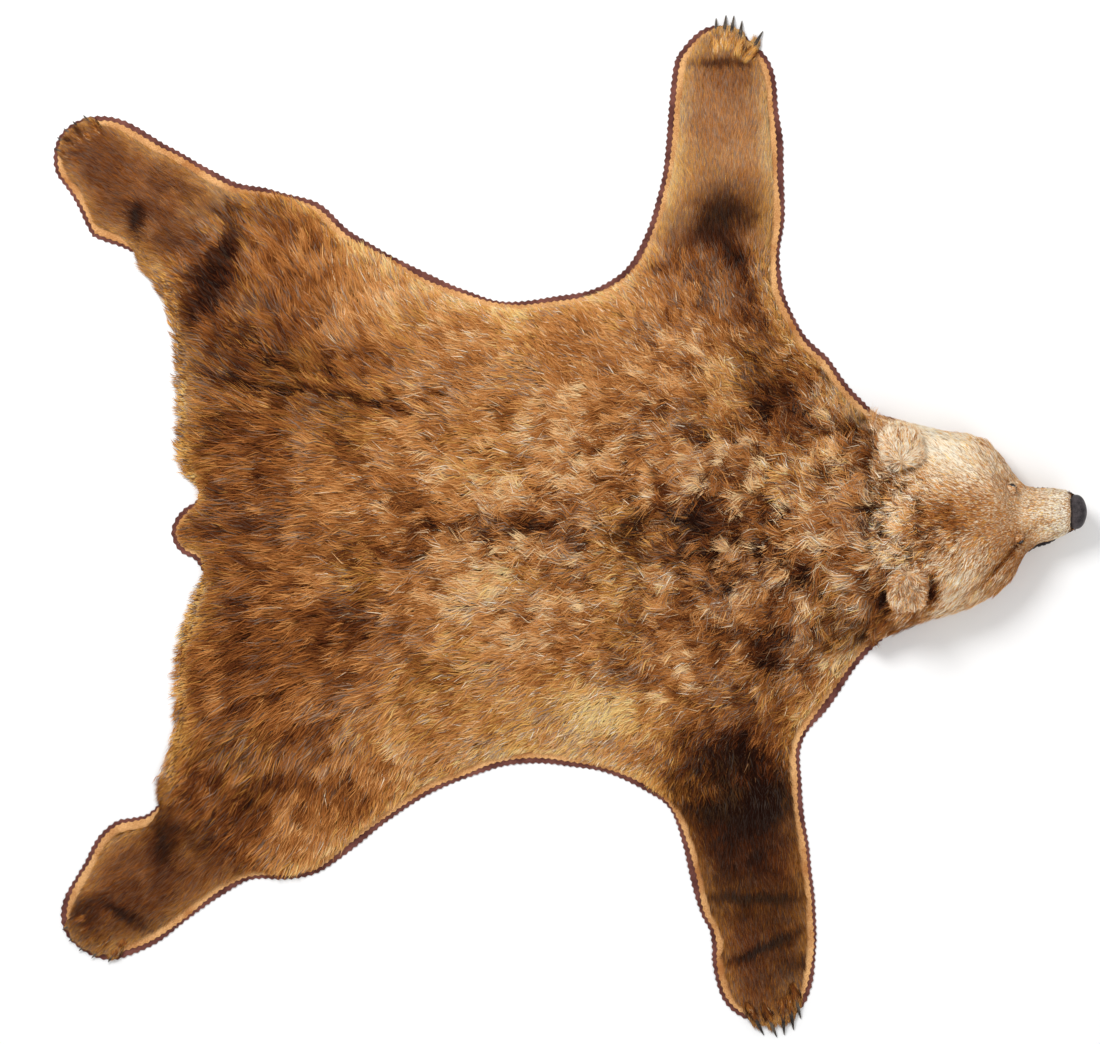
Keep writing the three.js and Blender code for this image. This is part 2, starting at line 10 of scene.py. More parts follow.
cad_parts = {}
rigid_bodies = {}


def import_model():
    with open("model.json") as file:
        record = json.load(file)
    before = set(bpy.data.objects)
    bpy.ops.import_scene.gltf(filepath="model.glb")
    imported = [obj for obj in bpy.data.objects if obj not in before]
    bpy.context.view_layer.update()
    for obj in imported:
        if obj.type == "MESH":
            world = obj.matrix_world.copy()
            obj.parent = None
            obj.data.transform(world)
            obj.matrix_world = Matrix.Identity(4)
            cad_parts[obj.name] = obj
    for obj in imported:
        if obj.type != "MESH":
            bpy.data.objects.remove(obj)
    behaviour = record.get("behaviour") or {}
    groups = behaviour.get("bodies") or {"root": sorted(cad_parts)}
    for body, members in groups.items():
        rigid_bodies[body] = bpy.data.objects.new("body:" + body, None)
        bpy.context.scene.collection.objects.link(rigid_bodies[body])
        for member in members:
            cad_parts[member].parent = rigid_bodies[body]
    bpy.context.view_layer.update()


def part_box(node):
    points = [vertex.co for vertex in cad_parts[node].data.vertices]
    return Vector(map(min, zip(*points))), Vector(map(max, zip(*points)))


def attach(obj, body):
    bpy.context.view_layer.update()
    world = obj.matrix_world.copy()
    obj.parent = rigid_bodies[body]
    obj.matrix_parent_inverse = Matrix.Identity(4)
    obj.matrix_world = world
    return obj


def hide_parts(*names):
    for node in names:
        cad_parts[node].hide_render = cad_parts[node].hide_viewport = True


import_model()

scene = bpy.context.scene
mm = 0.001  # the tables below are in millimetres, and headings in degrees from the nose's direction
weld = 1e-5  # corners closer than this are one
sortDigits = 7  # places that agree this far are alike when corners are sorted


def table(keys, rows):  # a dictionary for each row
    return [dict(zip(keys.split(), row)) for row in rows]


# Studio: a camera straight above, a pale floor and soft light

studio = {
    "cameraPlace": (-0.034, 0.011, 6.0),
    "frameWidth": 2.2,  # metres across the picture at floor level
    "sensor": 36.0,
    "floorReach": 30.0,
    "floorColour": (0.93, 0.93, 0.93, 1),
    "floorRoughness": 0.9,
    "skyStrength": 0.62,
    "keyPlace": (-1.3, 1.9, 3.6),
    "keySize": 1.5,
    "keyPower": 118,
    "fillPlace": (2.2, -1.6, 3.2),
    "fillSize": 2.2,
    "fillPower": 26,
}


def softLamp(name, place, size, power):
    lamp = bpy.data.lights.new(name, "AREA")
    lamp.shape = "DISK"
    lamp.size = size
    lamp.energy = power
    holder = bpy.data.objects.new(name, lamp)
    holder.location = place
    holder.rotation_euler = (-Vector(place)).to_track_quat("-Z", "Y").to_euler()
    scene.collection.objects.link(holder)


def buildStudio():
    lens = bpy.data.cameras.new("studioCamera")
    lens.sensor_width = studio["sensor"]
    lens.lens = studio["sensor"] * studio["cameraPlace"][2] / studio["frameWidth"]
    camera = bpy.data.objects.new("studioCamera", lens)
    camera.location = studio["cameraPlace"]
    scene.collection.objects.link(camera)
    scene.camera = camera
    softLamp("keyLamp", studio["keyPlace"], studio["keySize"], studio["keyPower"])
    softLamp("fillLamp", studio["fillPlace"], studio["fillSize"], studio["fillPower"])
    world = bpy.data.worlds.new("softSky")
    world.use_nodes = True
    setInputs(world.node_tree.nodes["Background"], {"Color": (1, 1, 1, 1), "Strength": studio["skyStrength"]})
    scene.world = world
    scene.view_settings.view_transform = "Standard"
    bm = bmesh.new()
    bmesh.ops.create_grid(bm, x_segments=1, y_segments=1, size=studio["floorReach"])
    floor = finished("floor", bm)
    paper = bpy.data.materials.new("palePaper")
    paper.use_nodes = True
    setInputs(paper.node_tree.nodes["Principled BSDF"],
              {"Base Color": studio["floorColour"], "Roughness": studio["floorRoughness"]})
    floor.data.materials.append(paper)
    print("studio ready")


# Small helpers for meshes, places and shader nodes

def finished(name, bm):
    mesh = bpy.data.meshes.new(name)
    bm.to_mesh(mesh)
    bm.free()
    piece = bpy.data.objects.new(name, mesh)
    scene.collection.objects.link(piece)
    return piece


def inOrder(bm):  # Blender lists a sphere's faces anew on each run, and the hair's draws go by that list
    corners = sorted(bm.verts, key=lambda v: [round(c, sortDigits) for c in v.co])
    rank = {v: i for i, v in enumerate(corners)}
    loops = []
    for face in bm.faces:
        ids = [rank[v] for v in face.verts]
        first = ids.index(min(ids))
        loops.append(ids[first:] + ids[:first])
    fixed = bmesh.new()
    corners = [fixed.verts.new(v.co) for v in corners]
    for ids in sorted(loops):
        fixed.faces.new([corners[i] for i in ids])
    fixed.normal_update()
    bm.free()
    return fixed


def ball(segments, radius=1):
    bm = bmesh.new()
    bmesh.ops.create_uvsphere(bm, u_segments=segments[0], v_segments=segments[1], radius=radius)
    return inOrder(bm)


def dress(piece, finish, slot, *nodes):  # nodes are the solids that it stands for
    piece.data.materials.append(finish)
    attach(piece, "root")
    if nodes:
        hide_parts(*nodes)


def shadeSmooth(piece):
    piece.data.polygons.foreach_set("use_smooth", [True] * len(piece.data.polygons))
    piece.data.update()


def mergedCopy(node):
    bm = bmesh.new()
    bm.from_mesh(bpy.data.objects[node].data)
    bmesh.ops.remove_doubles(bm, verts=bm.verts, dist=weld)
    return bm


def applyModifiers(piece):
    graph = bpy.context.evaluated_depsgraph_get()
    mesh = bpy.data.meshes.new_from_object(piece.evaluated_get(graph))
    piece.modifiers.clear()
    old = piece.data
    piece.data = mesh
    bpy.data.meshes.remove(old)
    mesh.name = piece.name


def remeshedCopy(node, name, voxel, rounds, share):
    piece = finished(name, mergedCopy(node))
    remesh = piece.modifiers.new("evenMesh", "REMESH")
    remesh.mode = "VOXEL"
    remesh.voxel_size = voxel * mm
    smooth = piece.modifiers.new("softer", "SMOOTH")
    smooth.iterations = rounds
    if share < 1:
        lighter = piece.modifiers.new("lighter", "DECIMATE")
        lighter.ratio = share
    applyModifiers(piece)
    return piece


def meshArrays(piece):
    mesh = piece.data
    mesh.calc_loop_triangles()
    points = np.empty(len(mesh.vertices) * 3)
    mesh.vertices.foreach_get("co", points)
    normals = np.empty(len(mesh.vertices) * 3)
    mesh.vertices.foreach_get("normal", normals)
    corners = np.empty(len(mesh.loop_triangles) * 3, dtype=np.int64)
    mesh.loop_triangles.foreach_get("vertices", corners)
    return points.reshape(-1, 3) / mm, normals.reshape(-1, 3), corners.reshape(-1, 3)


def triangleWays(points, corners):  # the direction that each triangle faces
    a, b, c = (points[corners[:, k]] for k in range(3))
    return unit(np.cross(b - a, c - a))


def unit(vectors):
    return vectors / np.maximum(np.linalg.norm(vectors, axis=1), 1e-9)[:, None]


def colour(red, green, blue):  # from sRGB to the shader's linear values
    linear = [((c / 255 + 0.055) / 1.055) ** 2.4 for c in (red, green, blue)]
    return (*linear, 1)


def addNode(tree, kind, x, y, **values):
    node = tree.nodes.new(kind)
    node.location = (x, y)
    for key, value in values.items():
        setattr(node, key, value)
    return node


def setInputs(node, values):
    for key, value in values.items():
        node.inputs[key].default_value = value


def wire(tree, *links):  # from a node's output to another's input
    for source, output, target, entry in links:
        tree.links.new(source.outputs[output], target.inputs[entry])


def setRamp(node, stops):
    ramp = node.color_ramp
    while len(ramp.elements) > 1:
        ramp.elements.remove(ramp.elements[-1])
    ramp.elements[0].position, ramp.elements[0].color = stops[0]
    for place, tint in stops[1:]:
        ramp.elements.new(place).color = tint


def newMaterial(name, roughness, specular):
    material = bpy.data.materials.new(name)
    material.use_nodes = True
    shader = material.node_tree.nodes["Principled BSDF"]
    setInputs(shader, {"Roughness": roughness, "Specular IOR Level": specular})
    return material, material.node_tree, shader


# Shader groups shared by several finishes

families = {  # hair colours from dark to light, in sRGB
    "brown": [(38, 16, 7), (104, 52, 22), (174, 105, 50), (226, 158, 91), (254, 216, 160)],
    "golden": [(56, 29, 10), (126, 74, 29), (192, 129, 59), (236, 177, 94), (255, 226, 154)],
    "cream": [(120, 80, 48), (180, 138, 96), (230, 199, 158), (249, 229, 197), (255, 246, 226)],
    "grey": [(50, 34, 27), (94, 68, 54), (142, 111, 90), (182, 150, 124), (212, 186, 158)],
}
familyOrder = list(families)
underfurAndDepthShade = [(0, 0.30), (0.35, 0.62), (0.7, 0.95), (1, 1.0)]  # darker at the root and full at the tip: partly the darker underfur, partly painted shade deep in the coat
mapMargin = 0.05  # of each family's strip on the map, at both its ends

surface = {
    "hairRoughness": 0.85,
    "hairSpecular": 0.06,
    "grainSpecular": 0.2,
    "patchDetail": 4,
    "fibreDetail": 3,
    "fibreDistortion": 1.5,
    "wornRange": (0.16, 0.36),  # noise below this is the base colour, and above it worn
}


def makeHairGroup():
    group = bpy.data.node_groups.new("hairTint", "ShaderNodeTree")
    group.interface.new_socket("Map", in_out="INPUT", socket_type="NodeSocketVector")
    # Depth is the share of the root shade that is used: darker underfur and painted shade deep in the coat
    group.interface.new_socket("Depth", in_out="INPUT", socket_type="NodeSocketFloat")
    group.interface.new_socket("Colour", in_out="OUTPUT", socket_type="NodeSocketColor")
    source = addNode(group, "NodeGroupInput", -600, 0)
    parts = addNode(group, "ShaderNodeSeparateXYZ", -420, 0)
    tints = addNode(group, "ShaderNodeValToRGB", -220, 120)
    stops = []
    for order, family in enumerate(familyOrder):
        for step, tint in enumerate(families[family]):
            place = mapMargin + (1 - 2 * mapMargin) * step / (len(families[family]) - 1)
            stops.append(((order + place) / len(familyOrder), colour(*tint)))
    setRamp(tints, stops)
    shade = addNode(group, "ShaderNodeValToRGB", -220, -140)
    setRamp(shade, [(place, (value, value, value, 1)) for place, value in underfurAndDepthShade])
    # the hair colour is multiplied by the root shade, which is partly darker underfur and partly painted
    # shade deep in the coat
    mix = addNode(group, "ShaderNodeMix", 60, 0, data_type="RGBA", blend_type="MULTIPLY")
    output = addNode(group, "NodeGroupOutput", 260, 0)
    wire(group, (source, "Depth", mix, "Factor"), (source, "Map", parts, 0),
         (parts, "X", tints, 0), (parts, "Y", shade, 0), (tints, "Color", mix, 6),
         (shade, "Color", mix, 7), (mix, 2, output, "Colour"))
    return group


def makeGrainGroup():
    group = bpy.data.node_groups.new("clothGrain", "ShaderNodeTree")
    for socket, kind, value in (
        ("Base", "NodeSocketColor", (0.5, 0.5, 0.5, 1)),
        ("Worn", "NodeSocketColor", (0.8, 0.8, 0.8, 1)),
        ("Patch scale", "NodeSocketFloat", 9.0),
        ("Fibre scale", "NodeSocketFloat", 900.0),
    ):
        made = group.interface.new_socket(socket, in_out="INPUT", socket_type=kind)
        made.default_value = value
    group.interface.new_socket("Colour", in_out="OUTPUT", socket_type="NodeSocketColor")
    group.interface.new_socket("Height", in_out="OUTPUT", socket_type="NodeSocketFloat")
    source = addNode(group, "NodeGroupInput", -800, 0)
    place = addNode(group, "ShaderNodeTexCoord", -800, 240)
    patches = addNode(group, "ShaderNodeTexNoise", -560, 240)
    setInputs(patches, {"Detail": surface["patchDetail"]})
    fibres = addNode(group, "ShaderNodeTexNoise", -560, -120)
    setInputs(fibres, {"Detail": surface["fibreDetail"], "Distortion": surface["fibreDistortion"]})
    blend = addNode(group, "ShaderNodeMath", -340, 160, operation="MULTIPLY")
    push = addNode(group, "ShaderNodeMapRange", -160, 160)
    setInputs(push, {"From Min": surface["wornRange"][0], "From Max": surface["wornRange"][1]})
    mix = addNode(group, "ShaderNodeMix", 60, 0, data_type="RGBA")
    output = addNode(group, "NodeGroupOutput", 260, 0)
    wire(group, (place, "Object", patches, "Vector"), (place, "Object", fibres, "Vector"),
         (source, "Patch scale", patches, "Scale"), (source, "Fibre scale", fibres, "Scale"),
         (patches, "Fac", blend, 0), (fibres, "Fac", blend, 1), (blend, 0, push, "Value"),
         (push, 0, mix, "Factor"), (source, "Base", mix, 6), (source, "Worn", mix, 7),
         (mix, 2, output, "Colour"), (fibres, "Fac", output, "Height"))
    return group


hairTint = makeHairGroup()
clothGrain = makeGrainGroup()


def hairMaterial(name, shadeShare):
    material, tree, shader = newMaterial(name, surface["hairRoughness"], surface["hairSpecular"])
    own = addNode(tree, "ShaderNodeUVMap", -620, 0, uv_map="OFBake")
    tint = addNode(tree, "ShaderNodeGroup", -380, 0, node_tree=hairTint)
    setInputs(tint, {"Depth": shadeShare})  # how much darker the roots are, from the underfur and from painted shade deep in the coat
    wire(tree, (own, "UV", tint, "Map"), (tint, "Colour", shader, "Base Color"))
    return material


def grainMaterial(name, base, worn, patches, fibres, bump, roughness):
    material, tree, shader = newMaterial(name, roughness, surface["grainSpecular"])
    grain = addNode(tree, "ShaderNodeGroup", -520, 0, node_tree=clothGrain)
    setInputs(grain, {"Base": colour(*base), "Worn": colour(*worn),
                      "Patch scale": patches, "Fibre scale": fibres})
    relief = addNode(tree, "ShaderNodeBump", -240, -200)
    setInputs(relief, {"Distance": bump * mm})
    wire(tree, (grain, "Colour", shader, "Base Color"), (grain, "Height", relief, "Height"),
         (relief, "Normal", shader, "Normal"))
    return material


# Felt border: the line of each strip is read from its solid, then cut again with fine pinking

felt = {
    "strips": 8,
    "columnStep": 3.25,
    "toothColumns": 4,  # columns to one tooth, so teeth are 13 mm apart
    "toothDepth": 3.0,
    "goldInset": 11,  # the gold solid's edge lies this far inside the dark one's
    "stripWidth": 25,  # of the gold solid
    "thickness": 1.9,
    "ripple": 1.2,
    "rippleRun": 90,
    "tuckedIn": 9,  # how much further in it ends where long hair hides it
    "goldReach": 2,
    "uneven": 3,
    "unevenRun": 70,
    "low": {"dark": 0.1, "gold": 2.3},  # undersides
    "fewestColumns": 8,
    "topBand": 0.2,  # edges of the solid this near its top are its rim
    "touching": 1.5,  # and those this near the dark solid are its outer side
    "darkFinish": dict(base=(78, 42, 38), worn=(128, 80, 70), patches=30, fibres=700,
                       bump=0.5, roughness=0.95),
    "goldFinish": dict(base=(172, 110, 58), worn=(238, 186, 126), patches=14, fibres=500,
                       bump=0.8, roughness=0.95),
}


def stripLines(index):
    gold = mergedCopy(f"felt_gold_{index}")
    dark = mergedCopy(f"felt_dark_{index}")
    darkTree = kdtree.KDTree(len(dark.verts))
    for i, v in enumerate(dark.verts):
        darkTree.insert((v.co.x, v.co.y, 0), i)
    darkTree.balance()
    top = max(v.co.z for v in gold.verts) - felt["topBand"] * mm
    rim = {}
    for edge in gold.edges:
        a, b = edge.verts
        upward = [face.normal.z > 0.9 for face in edge.link_faces]
        if min(a.co.z, b.co.z) > top and True in upward and False in upward:
            rim.setdefault(a.index, []).append(b.index)
            rim.setdefault(b.index, []).append(a.index)
    gold.verts.ensure_lookup_table()
    inner = {}
    for i in rim:
        x, y, _ = gold.verts[i].co
        inner[i] = darkTree.find((x, y, 0))[2] < felt["touching"] * mm
    lines = []
    for wanted in (False, True):
        ends = [i for i in rim if inner[i] == wanted and any(inner[j] != wanted for j in rim[i])]
        walk, last = [ends[0]], None
        while len(walk) == 1 or walk[-1] != ends[-1]:
            step = [j for j in rim[walk[-1]] if j != last and inner[j] == wanted]
            last = walk[-1]
            walk.append(step[0])
        lines.append([gold.verts[i].co.copy() / mm for i in walk])
    outerLine, innerLine = lines
    if (outerLine[0] - innerLine[0]).length > (outerLine[0] - innerLine[-1]).length:
        innerLine.reverse()
    gold.free()
    dark.free()
    return np.array(outerLine)[:, :2], np.array(innerLine)[:, :2]


def curveThrough(line, at):  # at counts points along the line
    last = len(line) - 1
    start = np.clip(np.floor(at).astype(int), 0, last - 1)
    t = (at - start)[:, None]
    p = [line[np.clip(start + k, 0, last)] for k in (-1, 0, 1, 2)]
    return 0.5 * (2 * p[1] + (p[2] - p[0]) * t + (2 * p[0] - 5 * p[1] + 4 * p[2] - p[3]) * t ** 2
                  + (3 * p[1] - p[0] - 3 * p[2] + p[3]) * t ** 3)


def feltStrip(kind, index, outerLine, innerLine, reach, material):
    low = felt["low"][kind]
    spans = np.linalg.norm(np.diff(outerLine, axis=0), axis=1)
    along = np.concatenate([[0], np.cumsum(spans)])
    columns = max(felt["fewestColumns"], int(along[-1] / felt["columnStep"]))
    at = np.interp(np.linspace(0, along[-1], columns + 1), along, np.arange(len(along)))
    outside = curveThrough(outerLine, at)
    inside = curveThrough(innerLine, at)
    outward = (outside - inside) / felt["stripWidth"]
    reaches = reach - felt["tuckedIn"] * longShare(*outside.T)
    reaches += felt["uneven"] * softNoise(*outside.T, felt["unevenRun"], low)
    bm = bmesh.new()
    bmesh.ops.create_grid(bm, x_segments=columns, y_segments=1, size=1)
    for v in bm.verts:
        column = round((v.co.x + 1) / 2 * columns)
        across = (v.co.y + 1) / 2
        turn = 2 * math.pi * column / felt["toothColumns"]
        tooth = felt["toothDepth"] * (0.5 - 0.5 * math.cos(turn)) if across > 0.99 else 0
        edge = outside[column] + outward[column] * (reaches[column] - tooth)
        place = inside[column] * (1 - across) + edge * across
        wave = math.sin(column * felt["columnStep"] / felt["rippleRun"] * 2 * math.pi)
        lift = felt["ripple"] * across * (0.5 + 0.5 * wave)
        v.co = (place[0] * mm, place[1] * mm, (low + felt["thickness"] + lift) * mm)
    bmesh.ops.recalc_face_normals(bm, faces=bm.faces)
    if sum(face.normal.z for face in bm.faces) < 0:
        bmesh.ops.reverse_faces(bm, faces=bm.faces)
    bmesh.ops.solidify(bm, geom=bm.faces[:], thickness=felt["thickness"] * mm)
    dress(finished(f"{kind}_strip_{index}", bm), material, f"{kind}_felt", f"felt_{kind}_{index}")


def buildFelt():
    dark = grainMaterial("darkFelt", **felt["darkFinish"])
    gold = grainMaterial("goldFelt", **felt["goldFinish"])
    edge = []
    for i in range(1, felt["strips"] + 1):
        outerLine, innerLine = stripLines(i)
        feltStrip("dark", i, outerLine, innerLine, felt["goldInset"], dark)
        feltStrip("gold", i, outerLine, innerLine, felt["goldReach"], gold)
        steps = np.linspace(0, len(outerLine) - 1, 4 * len(outerLine))
        edge.append(curveThrough(outerLine, steps))
    print("felt border ready")
    return np.concatenate(edge)


# Skin under the fur: the hide's solid, softened and let down to leave room for the hair

skin = {
    "voxel": 6,
    "smoothing": 3,
    "keep": 0.15,  # share of the faces
    "letDown": 0.35,  # share of its height that the top sinks by
    "mostDown": 10,
    "rimHeight": 4.6,
    "finish": dict(base=(98, 62, 36), worn=(142, 96, 58), patches=22, fibres=420,
                   bump=2.5, roughness=0.9),
}


def buildSkin():
    piece = remeshedCopy("hide", "pelt_skin", skin["voxel"], skin["smoothing"], skin["keep"])
    for v in piece.data.vertices:
        height = v.co.z / mm
        if height > skin["rimHeight"]:
            down = min(skin["letDown"] * (height - skin["rimHeight"]), skin["mostDown"])
            v.co.z = (height - down) * mm
    shadeSmooth(piece)
    dress(piece, grainMaterial("undercoat", **skin["finish"]), "coat", "hide")
    print("skin ready,", len(piece.data.polygons), "faces")
    return piece


# Coat: what the hair does at each place. heading is where the tips point, length is in millimetres,
# and tone runs from dark to light. curl, grey and cream are shares.
coatPlaces = table("x y heading length tone curl grey cream", [
    (-730, 10, 180, 56, 0.38, 0.1, 0.1, 0),
    (-560, 0, 180, 54, 0.46, 0.15, 0.05, 0),
    (-350, 0, 180, 46, 0.52, 0.35, 0.05, 0.03),
    (-120, 0, 180, 42, 0.57, 0.65, 0.05, 0.06),
    (120, 0, 180, 42, 0.5, 0.7, 0.05, 0.05),
    (330, 0, 180, 44, 0.44, 0.9, 0.15, 0.02),
    (500, 40, 170, 44, 0.5, 0.9, 0.1, 0.04),
    (-700, 260, 165, 60, 0.36, 0.1, 0.1, 0),
    (-640, 400, 130, 54, 0.36, 0.1, 0.15, 0),
    (-520, 470, 115, 44, 0.44, 0.1, 0.1, 0),
    (-400, 470, 105, 36, 0.62, 0.1, 0.05, 0.02),
    (-430, 290, 160, 48, 0.48, 0.1, 0.05, 0),
    (-200, 200, 172, 42, 0.6, 0.2, 0.03, 0.03),
    (-180, 390, 150, 32, 0.7, 0.15, 0.03, 0.03),
    (60, 200, 172, 40, 0.6, 0.4, 0.03, 0.03),
    (60, 420, 140, 27, 0.66, 0.15, 0.03, 0.03),
    (250, 250, 160, 40, 0.66, 0.7, 0.05, 0.03),
    (-700, -270, -165, 60, 0.38, 0.1, 0.05, 0),
    (-640, -420, -130, 54, 0.36, 0.1, 0.05, 0),
    (-520, -520, -115, 44, 0.42, 0.1, 0.05, 0),
    (-400, -520, -105, 36, 0.56, 0.1, 0.05, 0.02),
    (-430, -290, -165, 48, 0.42, 0.15, 0.05, 0),
    (-200, -200, -172, 42, 0.69, 0.2, 0.03, 0.03),
    (-180, -420, -150, 32, 0.62, 0.15, 0.03, 0.03),
    (60, -200, -172, 40, 0.6, 0.4, 0.03, 0.03),
    (60, -420, -140, 27, 0.66, 0.15, 0.03, 0.05),
    (250, -250, -160, 40, 0.64, 0.7, 0.05, 0.03),
    (440, 300, 140, 34, 0.5, 0.4, 0.05, 0.02),
    (440, -300, -140, 34, 0.5, 0.4, 0.05, 0.02),
    (540, 170, 118, 44, 0.56, 0.7, 0.1, 0.1),
    (540, -170, -118, 44, 0.56, 0.7, 0.1, 0.14),
    (300, 500, 95, 34, 0.46, 0.3, 0.3, 0),
    (300, 700, 90, 24, 0.67, 0.1, 0.35, 0),
    (290, 930, 90, 20, 0.44, 0.05, 0.4, 0),
    (345, -520, -85, 34, 0.15, 0.3, 0.1, 0),
    (365, -700, -81, 26, 0.17, 0.1, 0.2, 0),
    (400, -930, -81, 21, 0.2, 0.05, 0.3, 0),
    (-760, 560, 146, 38, 0.34, 0.1, 0.3, 0),
    (-860, 660, 146, 27, 0.33, 0.1, 0.3, 0),
    (-960, 740, 146, 22, 0.3, 0.05, 0.3, 0),
    (-750, -620, -138, 38, 0.34, 0.1, 0.2, 0),
    (-850, -720, -138, 27, 0.34, 0.1, 0.3, 0),
    (-940, -800, -138, 22, 0.3, 0.05, 0.3, 0),
])
placeReach = 95  # each row counts most within this distance
placeKeys = ("length", "tone", "curl", "grey", "cream")

# Where long hair hides the felt, and the tail, where it doesn't
longRims = table("x y reach", [
    (-765, 235, 160),
    (-815, 440, 120),
    (-760, -255, 165),
    (-800, -450, 110),
])
tailStub = dict(x=-775, y=-6, reach=58)
coveredRims = table("x y reach", [  # where short hair hides the gold felt alone
    (176, 665, 95),
    (-564, 665, 80),
    (-374, 545, 60),
    (-484, -665, 85),
    (490, -640, 110),
    (565, -260, 50),
    (250, -741, 180),
])

# Patches of darker and lighter hair: half length, half width, turn and how much lighter
coatPatches = table("x y long wide turn tone golden", [
    (-104, -5, 90, 14, 0, -0.35),  # middle of the back
    (196, 0, 46, 32, 0, -0.3),
    (268, -38, 12, 34, 8, -0.36),
    (392, -4, 18, 30, 0, -0.3),
    (360, -206, 54, 13, -10, -0.32),
    (396, -262, 32, 20, -60, -0.26),
    (150, -10, 80, 12, 4, -0.15),
    (-270, 0, 60, 10, -3, -0.2),
    (322, 628, 46, 38, 0, -0.46),  # inside the left foreleg
    (266, 585, 40, 22, 60, -0.35),
    (340, 528, 60, 20, -56, -0.4),
    (368, 410, 55, 34, 100, -0.32),
    (426, 282, 50, 44, 0, -0.42),
    (190, 515, 26, 8, 0, -0.3),
    (215, 235, 28, 9, 0, -0.3),
    (376, 235, 28, 9, 0, -0.3),
    (388, 475, 90, 12, -73, 0.22),  # pale edge of the foreleg
    (226, 365, 80, 28, 0, 0.12),
    (142, 375, 110, 3, 90, -0.2),  # faint seams of the pelt
    (146, -375, 50, 3, 90, -0.2),
    (-434, -508, 43, 3, 90, -0.2),
    (311, 923, 50, 8, 0, -0.4),
    (396, -535, 45, 30, 0, -0.4),  # inside the right foreleg
    (326, -561, 90, 14, 0, -0.3),
    (346, -605, 90, 60, 0, -0.2),
    (371, -735, 80, 7, 0, -0.4),
    (470, -868, 26, 14, 0, -0.3),
    (384, -838, 70, 7, 25, -0.4),
    (336, -265, 110, 60, 0, -0.13),
    (322, -445, 72, 46, 0, -0.38),
    (-852, 610, 12, 24, 0, -0.55),  # left hind leg
    (-974, 791, 15, 4, -40, -0.4),
    (-992, 768, 15, 4, -40, -0.4),
    (-946, 803, 15, 4, -40, -0.4),
    (-712, 472, 76, 26, 62, -0.5),
    (-808, -588, 58, 26, -78, -0.42),  # right hind leg
    (-966, -772, 30, 24, 0, -0.35),
    (-880, -768, 36, 9, -31, -0.35),
    (-632, -545, 40, 24, 30, -0.25),
    # painted shade, with the darker roots that show, in the pelt's creases and partings: this row and those
    # below it down to the rows above the tail
    (-400, 251, 85, 5, -10, -0.5),
    (-424, 267, 14, 6, -20, -0.4),
    (-348, 265, 14, 6, -20, -0.4),
    (-288, 247, 16, 7, -20, -0.35),
    (-266, 275, 14, 6, -30, -0.35),  # creases and partings, darker with painted shade in them and the darker roots that show there
    (492, -112, 65, 12, -40, -0.55),
    (-690, 295, 45, 5, -17, -0.45),
    (-594, 338, 38, 5, -23, -0.45),
    (-476, 308, 28, 6, -32, -0.45),
    (-580, 279, 50, 5, -9, -0.45),
    (-690, -5, 62, 12, 0, -0.24),  # above the tail
    (-430, 110, 28, 110, 0, -0.08),
    (-702, 208, 20, 10, 0, -0.3),
    (-418, -175, 40, 25, 0, -0.25),
    (76, -375, 90, 42, 0, 0.32, 0.9),  # bald and sunlit places
    (-124, -145, 120, 60, 0, 0.13),
    (-64, 115, 200, 45, 0, 0.12),
    (-384, 455, 80, 50, 0, 0.15),
    (90, 381, 40, 22, 0, 0.15),
    (-334, -435, 110, 50, 0, 0.15),
    (-574, -605, 80, 40, 0, 0.1),
    (506, -285, 70, 40, 0, 0.15),
    (486, 295, 70, 40, 0, 0.12),
])

coat = {
    "seed": 11,
    "steepest": 0.15,  # hair grows where the skin's normal points up at least this much
    # share of the darker underfur and painted shade deep in the coat that the body's hair gets
    "rootShadeShare": 0.95,
    "rimTone": 0.26,  # lighter and more golden hair beside the felt
    "rimGolden": 0.6,
    "rimRun": 36,
    "rimReach": 1,  # hair ends this far inside the gold solid's edge
    "rimUneven": 6,
    "rimUnevenRun": 30,
    "longReach": 7,  # and this far outside it where it is long
    "coverReach": 8,
    "shortest": 8,
    "lockPitch": 12,  # hairs lean together in locks this far apart
    "lockTone": 0.14,
    "lockTurn": 14,
    "finePitch": 5,  # short hair has finer and calmer locks
    "fineBelow": 42,
    "fineRun": 15,
    "fineShare": 0.5,
    "tuftPitch": 38,
    "tuftTone": 0.13,
    "tuftTurn": 14,
    "calm": 0.75,  # contrast of straight hair, and what curl adds to it
    "lively": 1.9,
    "cloudScale": 130,
    "cloudTone": 0.07,
    "hairTone": 0.075,
    "hairTurn": 9,
    "gather": 0.8,  # share of the way to the lock's middle that the tips of curly hair lean
    "lift": (12, 36),
    "roll": 28,
    "lowest": 5.0,  # hair beyond the skin rests on the felt at this height
    "highest": 230.0,
    "greyScale": 75,
    "greyShare": 0.28,
    "goldenScale": 105,
    "goldenShare": 0.55,
}

coatSplit = dict(back=-330, shoulders=180, forelegs=(100, 540), hindLegs=1300)  # where each part begins
coatParts = table("name count width bent", [
    ("coat_rump", 90000, 1.7, True),
    ("coat_back", 80000, 1.6, True),
    ("coat_shoulders", 92000, 1.6, True),
    ("coat_forelegs", 106000, 1.35, False),
    ("coat_hind_legs", 72000, 1.35, False),
])


def cellRandom(column, row, salt):  # the same number each time for a cell of a grid; salt picks another
    value = np.sin(column * 127.1 + row * 311.7 + salt * 74.7) * 43758.5453
    return value - np.floor(value)


def softNoise(x, y, scale, salt):
    column, row = np.floor(x / scale), np.floor(y / scale)
    u, v = x / scale - column, y / scale - row
    u, v = u * u * (3 - 2 * u), v * v * (3 - 2 * v)
    near = cellRandom(column, row, salt) * (1 - u) + cellRandom(column + 1, row, salt) * u
    far = cellRandom(column, row + 1, salt) * (1 - u) + cellRandom(column + 1, row + 1, salt) * u
    return 2 * (near * (1 - v) + far * v) - 1


